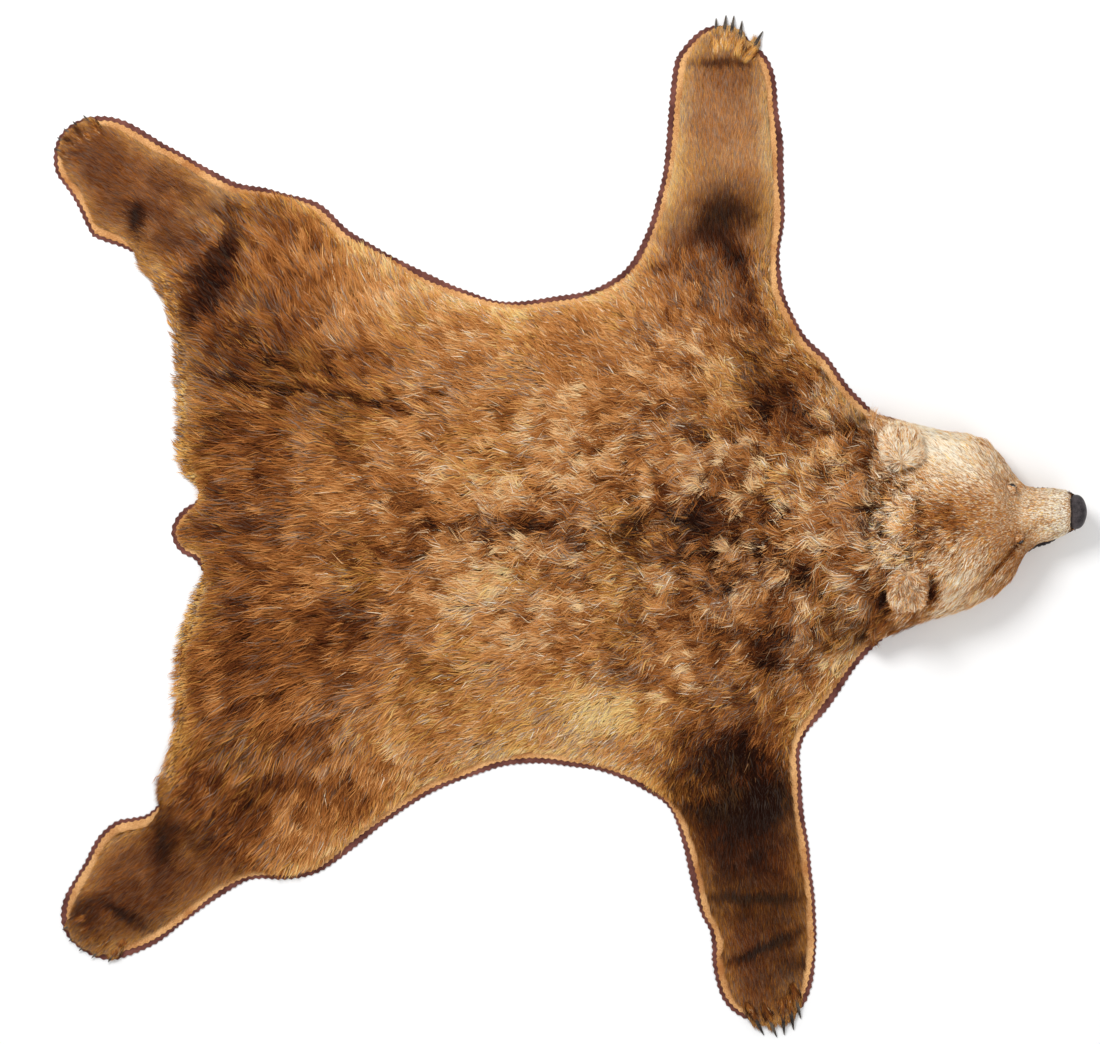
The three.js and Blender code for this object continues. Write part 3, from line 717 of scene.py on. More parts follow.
def nearestLock(x, y, pitch, salt):  # the middle of the nearest lock, and its cell
    column, row = np.floor(x / pitch), np.floor(y / pitch)
    best = np.full(len(x), 1e9)
    found = np.zeros((4, len(x)))
    for dc in (-1, 0, 1):
        for dr in (-1, 0, 1):
            c, r = column + dc, row + dr
            cx = (c + cellRandom(c, r, salt)) * pitch
            cy = (r + cellRandom(c, r, salt + 1)) * pitch
            far = (cx - x) ** 2 + (cy - y) ** 2
            closer = far < best
            best = np.where(closer, far, best)
            found = np.where(closer, np.stack([cx, cy, c, r]), found)
    return found


def coatAt(x, y, places, reach):  # far from every row, the nearest ones still count most
    near = {key: np.zeros(len(x)) for key in placeKeys}
    total, ahead, aside = np.zeros(len(x)), np.zeros(len(x)), np.zeros(len(x))
    for row in places:
        far = (x - row["x"]) ** 2 + (y - row["y"]) ** 2
        weight = np.exp(-far / (2 * reach ** 2)) + 1e2 / (far + 1e4) ** 2
        total += weight
        ahead += weight * math.cos(math.radians(row["heading"]))
        aside += weight * math.sin(math.radians(row["heading"]))
        for key in placeKeys:
            near[key] += weight * row[key]
    for key in placeKeys:
        near[key] /= total
    near["heading"] = np.arctan2(aside, ahead)
    return near


def gauss(u, v):  # 1 in the middle and about half at the edge of an oval
    return np.exp(-np.minimum(0.6 * (u * u + v * v), 60))


def turned(x, y, row):
    turn = math.radians(row["turn"])
    dx, dy = x - row["x"], y - row["y"]
    u = (dx * math.cos(turn) + dy * math.sin(turn)) / row["long"]
    v = (dy * math.cos(turn) - dx * math.sin(turn)) / row["wide"]
    return u, v


def patched(x, y, patches, key="tone"):
    return sum(row.get(key, 0) * gauss(*turned(x, y, row)) for row in patches)


def distanceTo(line, x, y):
    tree = kdtree.KDTree(len(line))
    for i, p in enumerate(line):
        tree.insert((p[0], p[1], 0), i)
    tree.balance()
    return np.array([tree.find((a, b, 0))[2] for a, b in zip(x, y)])


def shareNear(x, y, rows):
    share = np.zeros(len(x))
    for row in rows:
        far = np.hypot(x - row["x"], y - row["y"]) / row["reach"]
        share = np.maximum(share, np.exp(-(far ** 4)))
    return share


def longShare(x, y):
    onTail = np.hypot(x - tailStub["x"], y - tailStub["y"]) < tailStub["reach"]
    return np.where(onTail, 0, shareNear(x, y, longRims))


def roomToRim(x, y, rim):
    over = coat["rimReach"] + (coat["longReach"] - coat["rimReach"]) * longShare(x, y)
    over += coat["coverReach"] * shareNear(x, y, coveredRims)
    over += coat["rimUneven"] * softNoise(x, y, coat["rimUnevenRun"], 9)
    return np.maximum(rim + over, coat["shortest"])


def partOf(x, y):
    ahead, aside = coatSplit["forelegs"]
    part = np.where(x < coatSplit["back"], 0, np.where(x < coatSplit["shoulders"], 1, 2))
    part = np.where((x > ahead) & (np.abs(y) > aside), 3, part)
    return np.where(np.abs(y) - x > coatSplit["hindLegs"], 4, part)


def scatterRoots(points, normals, corners, count, chosen, rng):  # evenly over the chosen triangles
    a, b, c = points[corners[:, 0]], points[corners[:, 1]], points[corners[:, 2]]
    area = np.linalg.norm(np.cross(b - a, c - a), axis=1) * chosen
    pick = rng.choice(len(corners), count, p=area / area.sum())
    u, v = rng.random(count), rng.random(count)
    over = u + v > 1
    u, v = np.where(over, 1 - u, u)[:, None], np.where(over, 1 - v, v)[:, None]
    share = (1 - u - v, u, v)
    ids = corners[pick]
    root = sum(share[k] * points[ids[:, k]] for k in range(3))
    normal = sum(share[k] * normals[ids[:, k]] for k in range(3))
    return root, normal / np.linalg.norm(normal, axis=1)[:, None]


strand = {  # how hairs differ from each other, as shares unless noted
    "turn": 0.6,  # of each turn on straight hair, and what curl adds to those of locks and tufts
    "lockCurl": 2.2,
    "tuftCurl": 1.8,
    "lockLength": 0.2,
    "length": (0.72, 0.4),  # the least, and what chance adds
    "room": (0.6, 0.6),
    "width": (0.7, 0.6),
    "fullLift": 38,  # shorter hair than this, in millimetres, stands up less
    "leastLift": 0.6,
    "bend": (0.06, 0.34, 0.05),  # on straight hair, what curl adds, and what chance adds
    "lean": (0.45, 0.55, 1.4),  # on straight hair, what curl adds, and how soon
    "fullLean": 45,  # with less room than this, in millimetres, tips lean less
    "leastLean": 0.2,
    "midLean": 0.35,
    "tipLift": (0.4, 0.62),
    "tipBend": 0.35,
    "fullContrast": 14,  # shorter hair than this, in millimetres, is calmer
    "leastContrast": 0.3,
}
freeRoom = 100.0  # room for hair that has no rim to keep to


def strandMesh(name, rows, faces, across):  # rows are each strand's corners, with their share of its length
    count, size = len(across), len(rows)
    points = np.stack([place for place, _ in rows], axis=1).reshape(-1, 3) * mm
    corners = (np.arange(count)[:, None, None] * size + np.array(faces)[None]).reshape(-1)
    heights = np.array([share for _, share in rows])
    mesh = bpy.data.meshes.new(name)
    mesh.vertices.add(len(points))
    mesh.vertices.foreach_set("co", points.ravel())
    mesh.loops.add(len(corners))
    mesh.loops.foreach_set("vertex_index", corners)
    mesh.polygons.add(len(corners) // 3)
    mesh.polygons.foreach_set("loop_start", np.arange(0, len(corners), 3))
    layer = mesh.uv_layers.new(name="OFBake")
    places = np.stack([across[corners // size], 0.02 + 0.96 * heights[corners % size]], axis=1)
    layer.data.foreach_set("uv", places.ravel())
    mesh.update(calc_edges=True)
    mesh.validate()
    piece = bpy.data.objects.new(name, mesh)
    scene.collection.objects.link(piece)
    return piece


def growHair(name, root, normal, near, room, tone, part, look, rng):
    count = len(root)
    x, y = root[:, 0], root[:, 1]
    fine = rng.random(count) < np.clip((look["fineBelow"] - near["length"]) / look["fineRun"], 0, 1)
    lock = np.where(fine, nearestLock(x, y, look["finePitch"], 5), nearestLock(x, y, look["lockPitch"], 3))
    tuft = nearestLock(x, y, look["tuftPitch"], 8)
    lockRandom = [2 * cellRandom(lock[2], lock[3], salt) - 1 for salt in (21, 22, 23, 24)]
    tuftRandom = [2 * cellRandom(tuft[2], tuft[3], salt) - 1 for salt in (31, 32)]
    swirl = near["curl"]
    heading = near["heading"] + np.radians(
        look["lockTurn"] * lockRandom[0] * (strand["turn"] + strand["lockCurl"] * swirl)
        + look["tuftTurn"] * tuftRandom[0] * (strand["turn"] + strand["tuftCurl"] * swirl)
        + rng.normal(0, look["hairTurn"], count) * (strand["turn"] + swirl))
    length = near["length"] * (1 + strand["lockLength"] * lockRandom[1])
    longest = [least + spread * rng.random(count) for least, spread in (strand["length"], strand["room"])]
    length = np.minimum(length * longest[0], room * longest[1])
    flat = np.stack([np.cos(heading), np.sin(heading), np.zeros(count)], axis=1)
    along = unit(flat - (flat * normal).sum(1)[:, None] * normal)
    side = np.cross(normal, along)
    rise = np.clip(near["length"] / strand["fullLift"], strand["leastLift"], 1)
    lift = (np.radians(rng.uniform(*look["lift"], count)) * rise)[:, None]
    straight, curly, chance = strand["bend"]
    bend = (lockRandom[2] * (straight + curly * swirl) + rng.normal(0, chance, count))[:, None]
    reach = length[:, None]
    straight, curly, soon = strand["lean"]
    lean = look["gather"] * (straight + curly * np.minimum(soon * swirl, 1))
    lean = lean * np.clip(room / strand["fullLean"], strand["leastLean"], 1)
    gather = np.zeros((count, 3))
    gather[:, :2] = np.stack([lock[0] - x, lock[1] - y]).T * np.reshape(lean, (-1, 1))
    mid = root + reach * (0.5 * (along * np.cos(lift) + normal * np.sin(lift)) + bend * side)
    mid += strand["midLean"] * gather
    flatter, raised = strand["tipLift"]
    tip = along * np.cos(lift * flatter) + normal * np.sin(lift) * raised
    tip = root + reach * (tip - strand["tipBend"] * bend * side) + gather
    for place in (mid, tip):
        place[:, 2] = np.clip(place[:, 2], look["lowest"], look["highest"])
    roll = np.radians(rng.uniform(-look["roll"], look["roll"], count))[:, None]
    least, spread = strand["width"]
    half = 0.5 * part["width"] * (least + spread * rng.random(count))[:, None]
    edge = half * (side * np.cos(roll) + normal * np.sin(roll))
    contrast = (look["calm"] + look["lively"] * swirl) * np.where(fine, look["fineShare"], 1)
    contrast *= np.clip(near["length"] / strand["fullContrast"], strand["leastContrast"], 1)
    shown = tone + contrast * (look["lockTone"] * lockRandom[3] + look["tuftTone"] * tuftRandom[1])
    shown += rng.normal(0, look["hairTone"], count)
    shown = np.clip(shown, 0, 1)
    kinds = ("cream", "grey", "golden")
    shares = np.cumsum(np.broadcast_arrays(x, *(near[kind] for kind in kinds))[1:], axis=0)
    orders = [familyOrder.index(kind) for kind in kinds]
    family = np.select(list(rng.random(count) < shares), orders, familyOrder.index("brown"))
    across = (family + mapMargin + (1 - 2 * mapMargin) * shown) / len(familyOrder)
    if part["bent"]:
        rows = [(root, 0), (mid - edge, 0.5), (mid + edge, 0.5), (tip, 1)]
        return strandMesh(name, rows, [(0, 2, 1), (1, 2, 3)], across)
    return strandMesh(name, [(root - edge, 0), (root + edge, 0), (tip, 1)], [(0, 1, 2)], across)


def growCoat(skinPiece, rimLine):
    rng = np.random.default_rng(coat["seed"])
    points, normals, corners = meshArrays(skinPiece)
    middle = points[corners].mean(axis=1)
    upward = triangleWays(points, corners)[:, 2] > coat["steepest"]
    which = partOf(middle[:, 0], middle[:, 1])
    material = hairMaterial("coatHair", coat["rootShadeShare"])
    for index, part in enumerate(coatParts):
        chosen = upward & (which == index)
        root, normal = scatterRoots(points, normals, corners, part["count"], chosen, rng)
        x, y = root[:, 0], root[:, 1]
        near = coatAt(x, y, coatPlaces, placeReach)
        rim = distanceTo(rimLine, x, y)
        room = roomToRim(x, y, rim)
        run = 0.5 * np.minimum(near["length"], room)
        midX, midY = x + run * np.cos(near["heading"]), y + run * np.sin(near["heading"])
        tone = near["tone"] + patched(midX, midY, coatPatches)
        beside = np.exp(-((rim / coat["rimRun"]) ** 2))
        tone += coat["rimTone"] * beside
        tone += coat["cloudTone"] * softNoise(midX, midY, coat["cloudScale"], 5)
        near["grey"] += coat["greyShare"] * np.clip(softNoise(midX, midY, coat["greyScale"], 13), 0, 1)
        near["golden"] = coat["goldenShare"] * np.clip(softNoise(midX, midY, coat["goldenScale"], 14), 0, 1)
        near["golden"] += coat["rimGolden"] * beside + patched(midX, midY, coatPatches, "golden")
        piece = growHair(part["name"], root, normal, near, room, tone, part, coat, rng)
        dress(piece, material, "coat")
        print(part["name"], "grown,", len(piece.data.polygons), "faces")


# Head: the solid, softened and shaped, with short hair that is pale on the muzzle and cheeks

head = {
    "voxel": 4,
    "smoothing": 4,
    "keep": 0.5,
    "skinFinish": dict(base=(158, 112, 74), worn=(220, 184, 142), patches=30, fibres=500,
                       bump=1.0, roughness=0.85),
    "darkFinish": dict(base=(30, 23, 22), worn=(62, 44, 36), patches=60, fibres=500,
                       bump=0.5, roughness=0.7),  # skin round the nose
    "rootShadeShare": 0.12,
    "count": 58000,
    "width": 1.3,
    "reach": 34,  # each row of the face counts most within this distance
    "eyeClear": 9.5,
    "sleekFrom": 892,  # the hair lies flatter on the muzzle
    "lowestFacing": -0.6,  # no hair on the underside of the jaw
    "noseStart": 1005,
    "noseHair": dict(start=990, above=58, length=8, tone=0.12),  # short dark hair round the nose
    "skinFrom": 5,  # how far in front of its start the dark skin begins
    "crownEdge": 1.6,  # how soon a push on the crown fades on its sides
    "sideEdge": 8,
    "earOver": 1.15,  # the form is kept low under this many times the ear's size
    "look": dict(lockPitch=8, finePitch=4.5, fineBelow=30, tuftPitch=22, lockTone=0.2,
                 tuftTone=0.14, hairTone=0.1, lockTurn=10, tuftTurn=8),
    "lift": (12, 40),
    "sleekLift": (8, 24),
    "golden": 0.15,
    "besideCurve": 0.025,  # the hair reaches further forward beside the nose, up to this far
    "besideMost": 12,
    "edgeNoise": (4, 7),  # how far its front edge wanders, and over what distance
    "noseNoise": (3, 5),
    "toneNoise": (0.04, 40),
    "creamLost": 1.2,  # in the shadows
}
centreLine = [(606, 0), (850, 10), (930, 23), (1000, 31)]

# Pushes on the crown and on the two sides: half length, half width, turn and rise
crownPushes = table("x y long wide turn rise", [
    (838, 66, 26, 15, -35, 6),  # brow ridges
    (850, -20, 26, 15, 35, 6),
    (884, 28, 16, 18, 0, -6),  # dip between the eyes
    (876, 84, 16, 9, -30, -7),  # eye sockets
    (890, -30, 16, 9, 30, -7),
    (790, 18, 60, 11, 0, -4),  # furrow down the forehead
    (740, 90, 46, 34, 0, 5),
    (740, -60, 46, 34, 0, 5),
    (950, 30, 44, 15, 0, 4),  # bridge of the nose
    (912, 66, 20, 9, -10, -6),
    (920, -10, 20, 9, 10, -6),
    (843, -72, 62, 6, 45, -9),  # furrow from the eye to the cheek
    (838, 122, 50, 7, -50, -7),
    (770, 160, 60, 10, -14, 5),  # crest of pale hair
])
sidePushes = table("side x z long tall push", [
    (1, 940, 47, 44, 4.5, -6),  # line of the mouth
    (-1, 940, 47, 44, 4.5, -6),
    (1, 965, 64, 26, 9, 3),  # upper lips
    (-1, 965, 64, 26, 9, 3),
    (1, 900, 60, 14, 18, -5),  # in front of the cheeks
    (-1, 900, 60, 14, 18, -4),
])

facePlaces = table("x y heading length tone curl grey cream", [
    (620, 60, 165, 34, 0.46, 1, 0.1, 0.25),
    (620, -30, -165, 34, 0.56, 1, 0.1, 0.35),
    (620, -110, -135, 34, 0.55, 0.5, 0.1, 0.3),
    (615, 140, 130, 34, 0.6, 0.4, 0.05, 0.35),
    (625, 200, 120, 26, 0.55, 0.2, 0.05, 0.1),
    (630, -190, -120, 28, 0.42, 0.2, 0.1, 0.05),
    (670, 60, 150, 30, 0.44, 1, 0.1, 0.25),
    (672, -20, -160, 30, 0.5, 1, 0.1, 0.4),
    (700, 110, 140, 22, 0.62, 0.25, 0, 0.8),
    (650, 165, 120, 18, 0.7, 0.2, 0.05, 0.8),
    (720, 172, 120, 18, 1, 0.1, 0, 1),
    (775, 160, 125, 16, 1, 0.05, 0, 1),
    (752, 120, 140, 16, 0.9, 0.1, 0, 0.95),
    (820, 132, 140, 13, 0.85, 0.05, 0, 0.9),
    (852, 100, 145, 10, 0.75, 0, 0, 0.8),
    (792, 190, 110, 20, 0.76, 0.1, 0, 0.1),
    (845, 158, 115, 17, 0.72, 0.05, 0, 0.1),
    (722, 8, 175, 20, 0.36, 0.5, 0.1, 0.1),
    (745, 52, 170, 15, 0.52, 0.2, 0.05, 0.15),
    (790, 30, 178, 12, 0.53, 0.05, 0.05, 0.08),
    (840, 25, 180, 9, 0.58, 0, 0.05, 0.1),
    (880, 28, 180, 7, 0.66, 0, 0, 0.3),
    (740, -50, -140, 20, 0.56, 0.5, 0.1, 0.35),
    (745, -95, -118, 20, 0.75, 0.3, 0, 0.8),
    (800, -80, -122, 16, 0.77, 0.2, 0, 0.75),
    (765, -125, -115, 20, 0.77, 0.2, 0, 0.7),
    (845, -40, -145, 10, 0.58, 0, 0, 0.2),
    (690, -165, -115, 26, 0.54, 0.2, 0.05, 0.15),
    (850, -105, -110, 22, 0.6, 0.1, 0, 0.15),
    (800, -150, -105, 28, 0.76, 0.15, 0, 0.5),
    (915, 30, 180, 9, 0.98, 0, 0.03, 0.95),
    (960, 30, 180, 9, 1, 0, 0.03, 0.95),
    (985, 31, 180, 7, 0.9, 0, 0.1, 0.8),
    (905, -25, -170, 6, 0.45, 0, 0.05, 0.1),
    (900, 75, 170, 6, 0.62, 0, 0, 0.2),
])

facePatches = table("x y long wide turn tone", [
    (620, -126, 26, 11, 90, -0.8),  # shadows beside the ears
    (714, -114, 22, 10, 90, -0.8),
    (620, 150, 18, 6, 80, -0.45),
    (843, -72, 60, 5, 45, -0.3),  # painted shade in the furrow from the eye to the cheek and in the eye sockets
    (884, -26, 12, 7, 45, -0.4),
    (872, 78, 13, 5, -28, -0.3),
    (734, 16, 24, 22, 0, -0.16),
    (937, 12, 20, 4, 0, -0.25),
    (930, 44, 14, 3, 10, -0.2),
])

ears = {
    "places": [dict(name="left", x=648, y=158, z=180, out=1, tone=0.76, cream=0.6, grey=0.05,
                    hair=17),
               dict(name="right", x=660, y=-120, z=182, out=-1, tone=0.58, cream=0.3, grey=0.25,
                    hair=14)],
    "size": (37, 38, 12),
    "square": 2.7,  # 2 is a round flap, and more is squarer
    "hollow": 3,
    "deep": 2.1,  # how much deeper the underside is
    "cover": 3,  # the form's own ear stays this far below the flap
    "tilt": 20,  # the opening faces up, and this far forwards
    "outward": 16,
    "count": 4800,
    "rootAway": 31,
    "curl": 0.45,
    "golden": 0.1,
    "clear": 0.85,  # no head hair grows within this share of the ear's size, down to this far under it
    "under": 60,
    "segments": (28, 16),
    "hollowShape": 1.2,
    "rimFrom": 0.35,  # where the paler rim begins, how wide it is, and its share on the inner side
    "rimWide": 0.5,
    "innerShare": 0.5,
    "lengthShares": (0.7, 0.5),  # in the middle, and what is added at the rim
    "rimCream": 0.15,
    "rimTone": 0.08,
    "toneNoise": (0.06, 12),
    "hairWidth": 1.2,
    "look": dict(finePitch=5, tuftPitch=14, lockTone=0.2, tuftTone=0.14, lift=(14, 44)),
}

eyes = {
    "lidRadius": 11.7,
    "lidThickness": 1.3,
    "gaze": (0.42, 0.72, 0.55),
    "slitLong": 0.86,
    "slitTall": 0.5,
    "lining": 0.55,  # how far the dark lining lies inside the lid, and how much it narrows the slit
    "liningNarrow": 0.72,
    "segments": (36, 24),
    "glassSpecular": 0.7,
    "glassFinish": dict(base=(16, 9, 6), worn=(64, 32, 16), patches=140, fibres=600,
                        bump=0.02, roughness=0.05),
    "liningFinish": dict(base=(22, 14, 12), worn=(60, 36, 28), patches=90, fibres=900,
                         bump=0.4, roughness=0.4),
    "lidFinish": dict(base=(92, 54, 34), worn=(150, 98, 62), patches=60, fibres=500,
                      bump=0.5, roughness=0.7),
    "hairs": 900,  # short hair on each lid, as far as this share of the way to its slit
    "hairLength": 5.5,
    "hairShare": 0.82,
    "hairWidth": 1.1,
}

lips = {
    "xRange": (896, 984),
    "z": 50,
    "tall": 3.2,
    "inside": 3,  # how far it starts under the skin of the groove
    "shown": {1: 2.0, -1: 8.0},  # and how far it stands out past the muzzle on each side
    "ragged": 1.6,
    "raggedTurns": (1.9, 0.7),  # radians a step
    "steps": 48,
    "endShare": 0.03,  # the two ends aren't drawn out to a point
    "feelFrom": 300,
    "above": (60, 70, 80),  # other heights at which the muzzle's side is felt for
    "round": 10,  # faces round the lip
    "finish": dict(base=(20, 16, 16), worn=(48, 40, 40), patches=60, fibres=700,
                   bump=0.6, roughness=0.4),
}

nose = {
    "size": (21, 34, 23),
    "nostrilReach": 6.5,
    "nostrilDepth": 13,
    "nostrils": [(0.86, 0.42, -0.12), (0.86, -0.42, -0.12)],  # shares of the size, from the middle
    "grooveReach": 2.5,
    "grooveDepth": 3,
    "segments": (56, 36),
    "nostrilFlat": 1.3,
    "shadedDeeperThan": 4.5,  # deeper than this, the nostrils get painted shade
    "padFinish": dict(base=(42, 37, 39), worn=(86, 78, 79), patches=60, fibres=420,
                      bump=1.2, roughness=0.42),
    "nostrilShadeFinish": dict(base=(8, 7, 8), worn=(24, 22, 24), patches=60, fibres=500,
                         bump=0.5, roughness=0.4),
}


def shapeHead(piece):
    points, normals, _ = meshArrays(piece)
    x, y, z = points.T
    middle = np.interp(x, *zip(*centreLine))
    rise = sum(row["rise"] * gauss(*turned(x, y, row)) for row in crownPushes)
    points[:, 2] += rise * np.clip(normals[:, 2] * head["crownEdge"], 0, 1)
    for row in sidePushes:
        weight = gauss((x - row["x"]) / row["long"], (z - row["z"]) / row["tall"])
        weight = weight * np.clip((y - middle) * row["side"] / head["sideEdge"], 0, 1)
        points[:, 1] += row["side"] * row["push"] * weight
    for place in ears["places"]:
        dx, dy = x - place["x"], y - place["y"]
        flap = place["z"] - dx * math.tan(math.radians(ears["tilt"]))
        flap -= dy * place["out"] * math.tan(math.radians(ears["outward"])) + ears["cover"]
        over = np.hypot(dx / ears["size"][0], dy / ears["size"][1]) < head["earOver"]
        points[:, 2] = np.where(over, np.minimum(points[:, 2], flap), points[:, 2])
    piece.data.vertices.foreach_set("co", (points * mm).ravel())
    piece.data.update()


def growFace(piece):
    rng = np.random.default_rng(coat["seed"] + 1)
    points, normals, corners = meshArrays(piece)
    middle = points[corners].mean(axis=1)
    beside = head["besideCurve"] * (middle[:, 1] - centreLine[-1][1]) ** 2
    beside = np.minimum(beside, head["besideMost"])
    ragged = head["edgeNoise"][0] * softNoise(middle[:, 1], middle[:, 2], head["edgeNoise"][1], 15)
    chosen = triangleWays(points, corners)[:, 2] > head["lowestFacing"]
    chosen &= middle[:, 0] < head["noseStart"] + beside + ragged
    for node in ("eye_left", "eye_right"):
        centre = np.mean(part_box(node), axis=0) / mm
        chosen &= np.linalg.norm(middle - centre, axis=1) > head["eyeClear"]
    for place in ears["places"]:
        dx, dy = middle[:, 0] - place["x"], middle[:, 1] - place["y"]
        away = np.hypot(dx / ears["size"][0], dy / ears["size"][1])
        chosen &= (away > ears["clear"]) | (middle[:, 2] < place["z"] - ears["under"])
    root, normal = scatterRoots(points, normals, corners, head["count"], chosen * 1.0, rng)
    x, y = root[:, 0], root[:, 1]
    near = coatAt(x, y, facePlaces, head["reach"])
    # darker where the patches paint shadows beside the ears and shade in the furrows and eye sockets
    shade = patched(x, y, facePatches)
    uneven, run = head["toneNoise"]
    tone = near["tone"] + shade + uneven * softNoise(x, y, run, 6)
    near["cream"] = np.clip(near["cream"] + head["creamLost"] * np.minimum(shade, 0), 0, 1)
    near["golden"] = head["golden"]
    uneven, run = head["noseNoise"]
    front = x > head["noseHair"]["start"] + uneven * softNoise(y, y, run, 17)
    front &= root[:, 2] > head["noseHair"]["above"]
    for key, value in (("length", head["noseHair"]["length"]), ("cream", 0), ("grey", 0.5)):
        near[key] = np.where(front, value, near[key])
    near["heading"] = np.where(front & (rng.random(len(x)) < 0.5), 0, near["heading"])
    tone = np.where(front, head["noseHair"]["tone"], tone)
    sleek = x > head["sleekFrom"]
    lift = [np.where(sleek, flat, full) for flat, full in zip(head["sleekLift"], head["lift"])]
    look = dict(coat, **head["look"])
    look["lift"] = lift
    part = dict(width=head["width"], bent=True)
    return growHair("coat_face", root, normal, near, freeRoom, tone, part, look, rng)


def buildEar(place, skinFinish, hairFinish, rng):
    bm = ball(ears["segments"])
    for v in bm.verts:
        away = math.hypot(v.co.x, v.co.y)
        if v.co.z > 0:
            dip = ears["hollowShape"] * ears["hollow"] / ears["size"][2]
            v.co.z -= dip * max(0, 1 - away ** 2)
        else:
            v.co.z *= ears["deep"]
        if away > 1e-6:
            power = ears["square"]
            corner = (abs(v.co.x / away) ** power + abs(v.co.y / away) ** power) ** (-1 / power)
            v.co.x, v.co.y = v.co.x * corner, v.co.y * corner
    bmesh.ops.scale(bm, vec=[side * mm for side in ears["size"]], verts=bm.verts)
    tilt = Matrix.Rotation(math.radians(ears["tilt"]), 3, "Y")
    lean = Matrix.Rotation(math.radians(-ears["outward"] * place["out"]), 3, "X")
    bmesh.ops.rotate(bm, matrix=tilt @ lean, verts=bm.verts)
    bmesh.ops.translate(bm, vec=Vector((place["x"], place["y"], place["z"])) * mm, verts=bm.verts)
    flap = finished(f"ear_{place['name']}", bm)
    shadeSmooth(flap)
    points, normals, corners = meshArrays(flap)
    root, normal = scatterRoots(points, normals, corners, ears["count"], np.ones(len(corners)), rng)
    x, y = root[:, 0], root[:, 1]
    dx, dy = x - place["x"], y - place["y"]
    away = np.hypot(dx / ears["size"][0], dy / ears["size"][1])
    rimShare = np.clip((away - ears["rimFrom"]) / ears["rimWide"], 0, 1)
    rimShare = rimShare * np.where(dy * place["out"] > 0, 1, ears["innerShare"])
    inner, added = ears["lengthShares"]
    near = dict(length=place["hair"] * (inner + added * away), curl=ears["curl"],
                heading=np.arctan2(dy + ears["rootAway"] * place["out"], dx),
                grey=place["grey"] * (1 - rimShare), cream=place["cream"] + ears["rimCream"] * rimShare,
                golden=ears["golden"])
    uneven, run = ears["toneNoise"]
    tone = place["tone"] + ears["rimTone"] * rimShare + uneven * softNoise(x, y, run, 16)
    part = dict(width=ears["hairWidth"], bent=True)
    fur = growHair(f"ear_hair_{place['name']}", root, normal, near, freeRoom, tone,
                   part, dict(coat, **ears["look"]), rng)
    dress(flap, skinFinish, "face")
    dress(fur, hairFinish, "face")


def growLid(piece, centre, gaze, finish, rng):
    points, normals, corners = meshArrays(piece)
    away = points[corners].mean(axis=1) - np.array(centre) / mm
    far = np.linalg.norm(away, axis=1)
    towards = (away / far[:, None]) @ np.array(gaze)
    chosen = (far > far.mean()) & (away[:, 2] > 0) & (towards < eyes["hairShare"])
    root, normal = scatterRoots(points, normals, corners, eyes["hairs"], chosen * 1.0, rng)
    x, y = root[:, 0], root[:, 1]
    near = coatAt(x, y, facePlaces, head["reach"])
    near.update(length=eyes["hairLength"], golden=head["golden"])
    part = dict(width=eyes["hairWidth"], bent=True)
    fur = growHair(piece.name.replace("eyelid", "lid_hair"), root, normal, near,
                   freeRoom, near["tone"], part, coat, rng)
    dress(fur, finish, "face")


def buildEyes(hairFinish, rng):
    glass = grainMaterial("eyeGlass", **eyes["glassFinish"])
    shader = glass.node_tree.nodes["Principled BSDF"]
    setInputs(shader, {"Specular IOR Level": eyes["glassSpecular"]})
    shells = (("lid", 0, 1, grainMaterial("lidSkin", **eyes["lidFinish"])),
              ("lining", eyes["lining"], eyes["liningNarrow"],
               grainMaterial("eyeLining", **eyes["liningFinish"])))
    for node, out in (("eye_left", 1), ("eye_right", -1)):
        data = bpy.data.objects[node].data
        data.materials.clear()
        data.materials.append(glass)
        centre = Vector(np.mean(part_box(node), axis=0))
        gaze = Vector((eyes["gaze"][0], eyes["gaze"][1] * out, eyes["gaze"][2])).normalized()
        across = Vector((0, 0, 1)).cross(gaze).normalized()
        upward = gaze.cross(across)
        for kind, inward, narrow, finish in shells:
            bm = ball(eyes["segments"], (eyes["lidRadius"] - inward) * mm)
            opened = []
            for face in bm.faces:
                way = face.calc_center_median().normalized()
                a, b = way.dot(across) / eyes["slitLong"], way.dot(upward) / (eyes["slitTall"] * narrow)
                if way.dot(gaze) > 0 and a * a + b * b < 1:
                    opened.append(face)
            bmesh.ops.delete(bm, geom=opened, context="FACES")
            bmesh.ops.solidify(bm, geom=bm.faces[:], thickness=eyes["lidThickness"] * mm)
            bmesh.ops.translate(bm, vec=centre, verts=bm.verts)
            piece = finished(node.replace("eye", "eye" + kind), inOrder(bm))
            shadeSmooth(piece)
            dress(piece, finish, "nose_leather")
            if kind == "lid":
                growLid(piece, centre, gaze, hairFinish, rng)


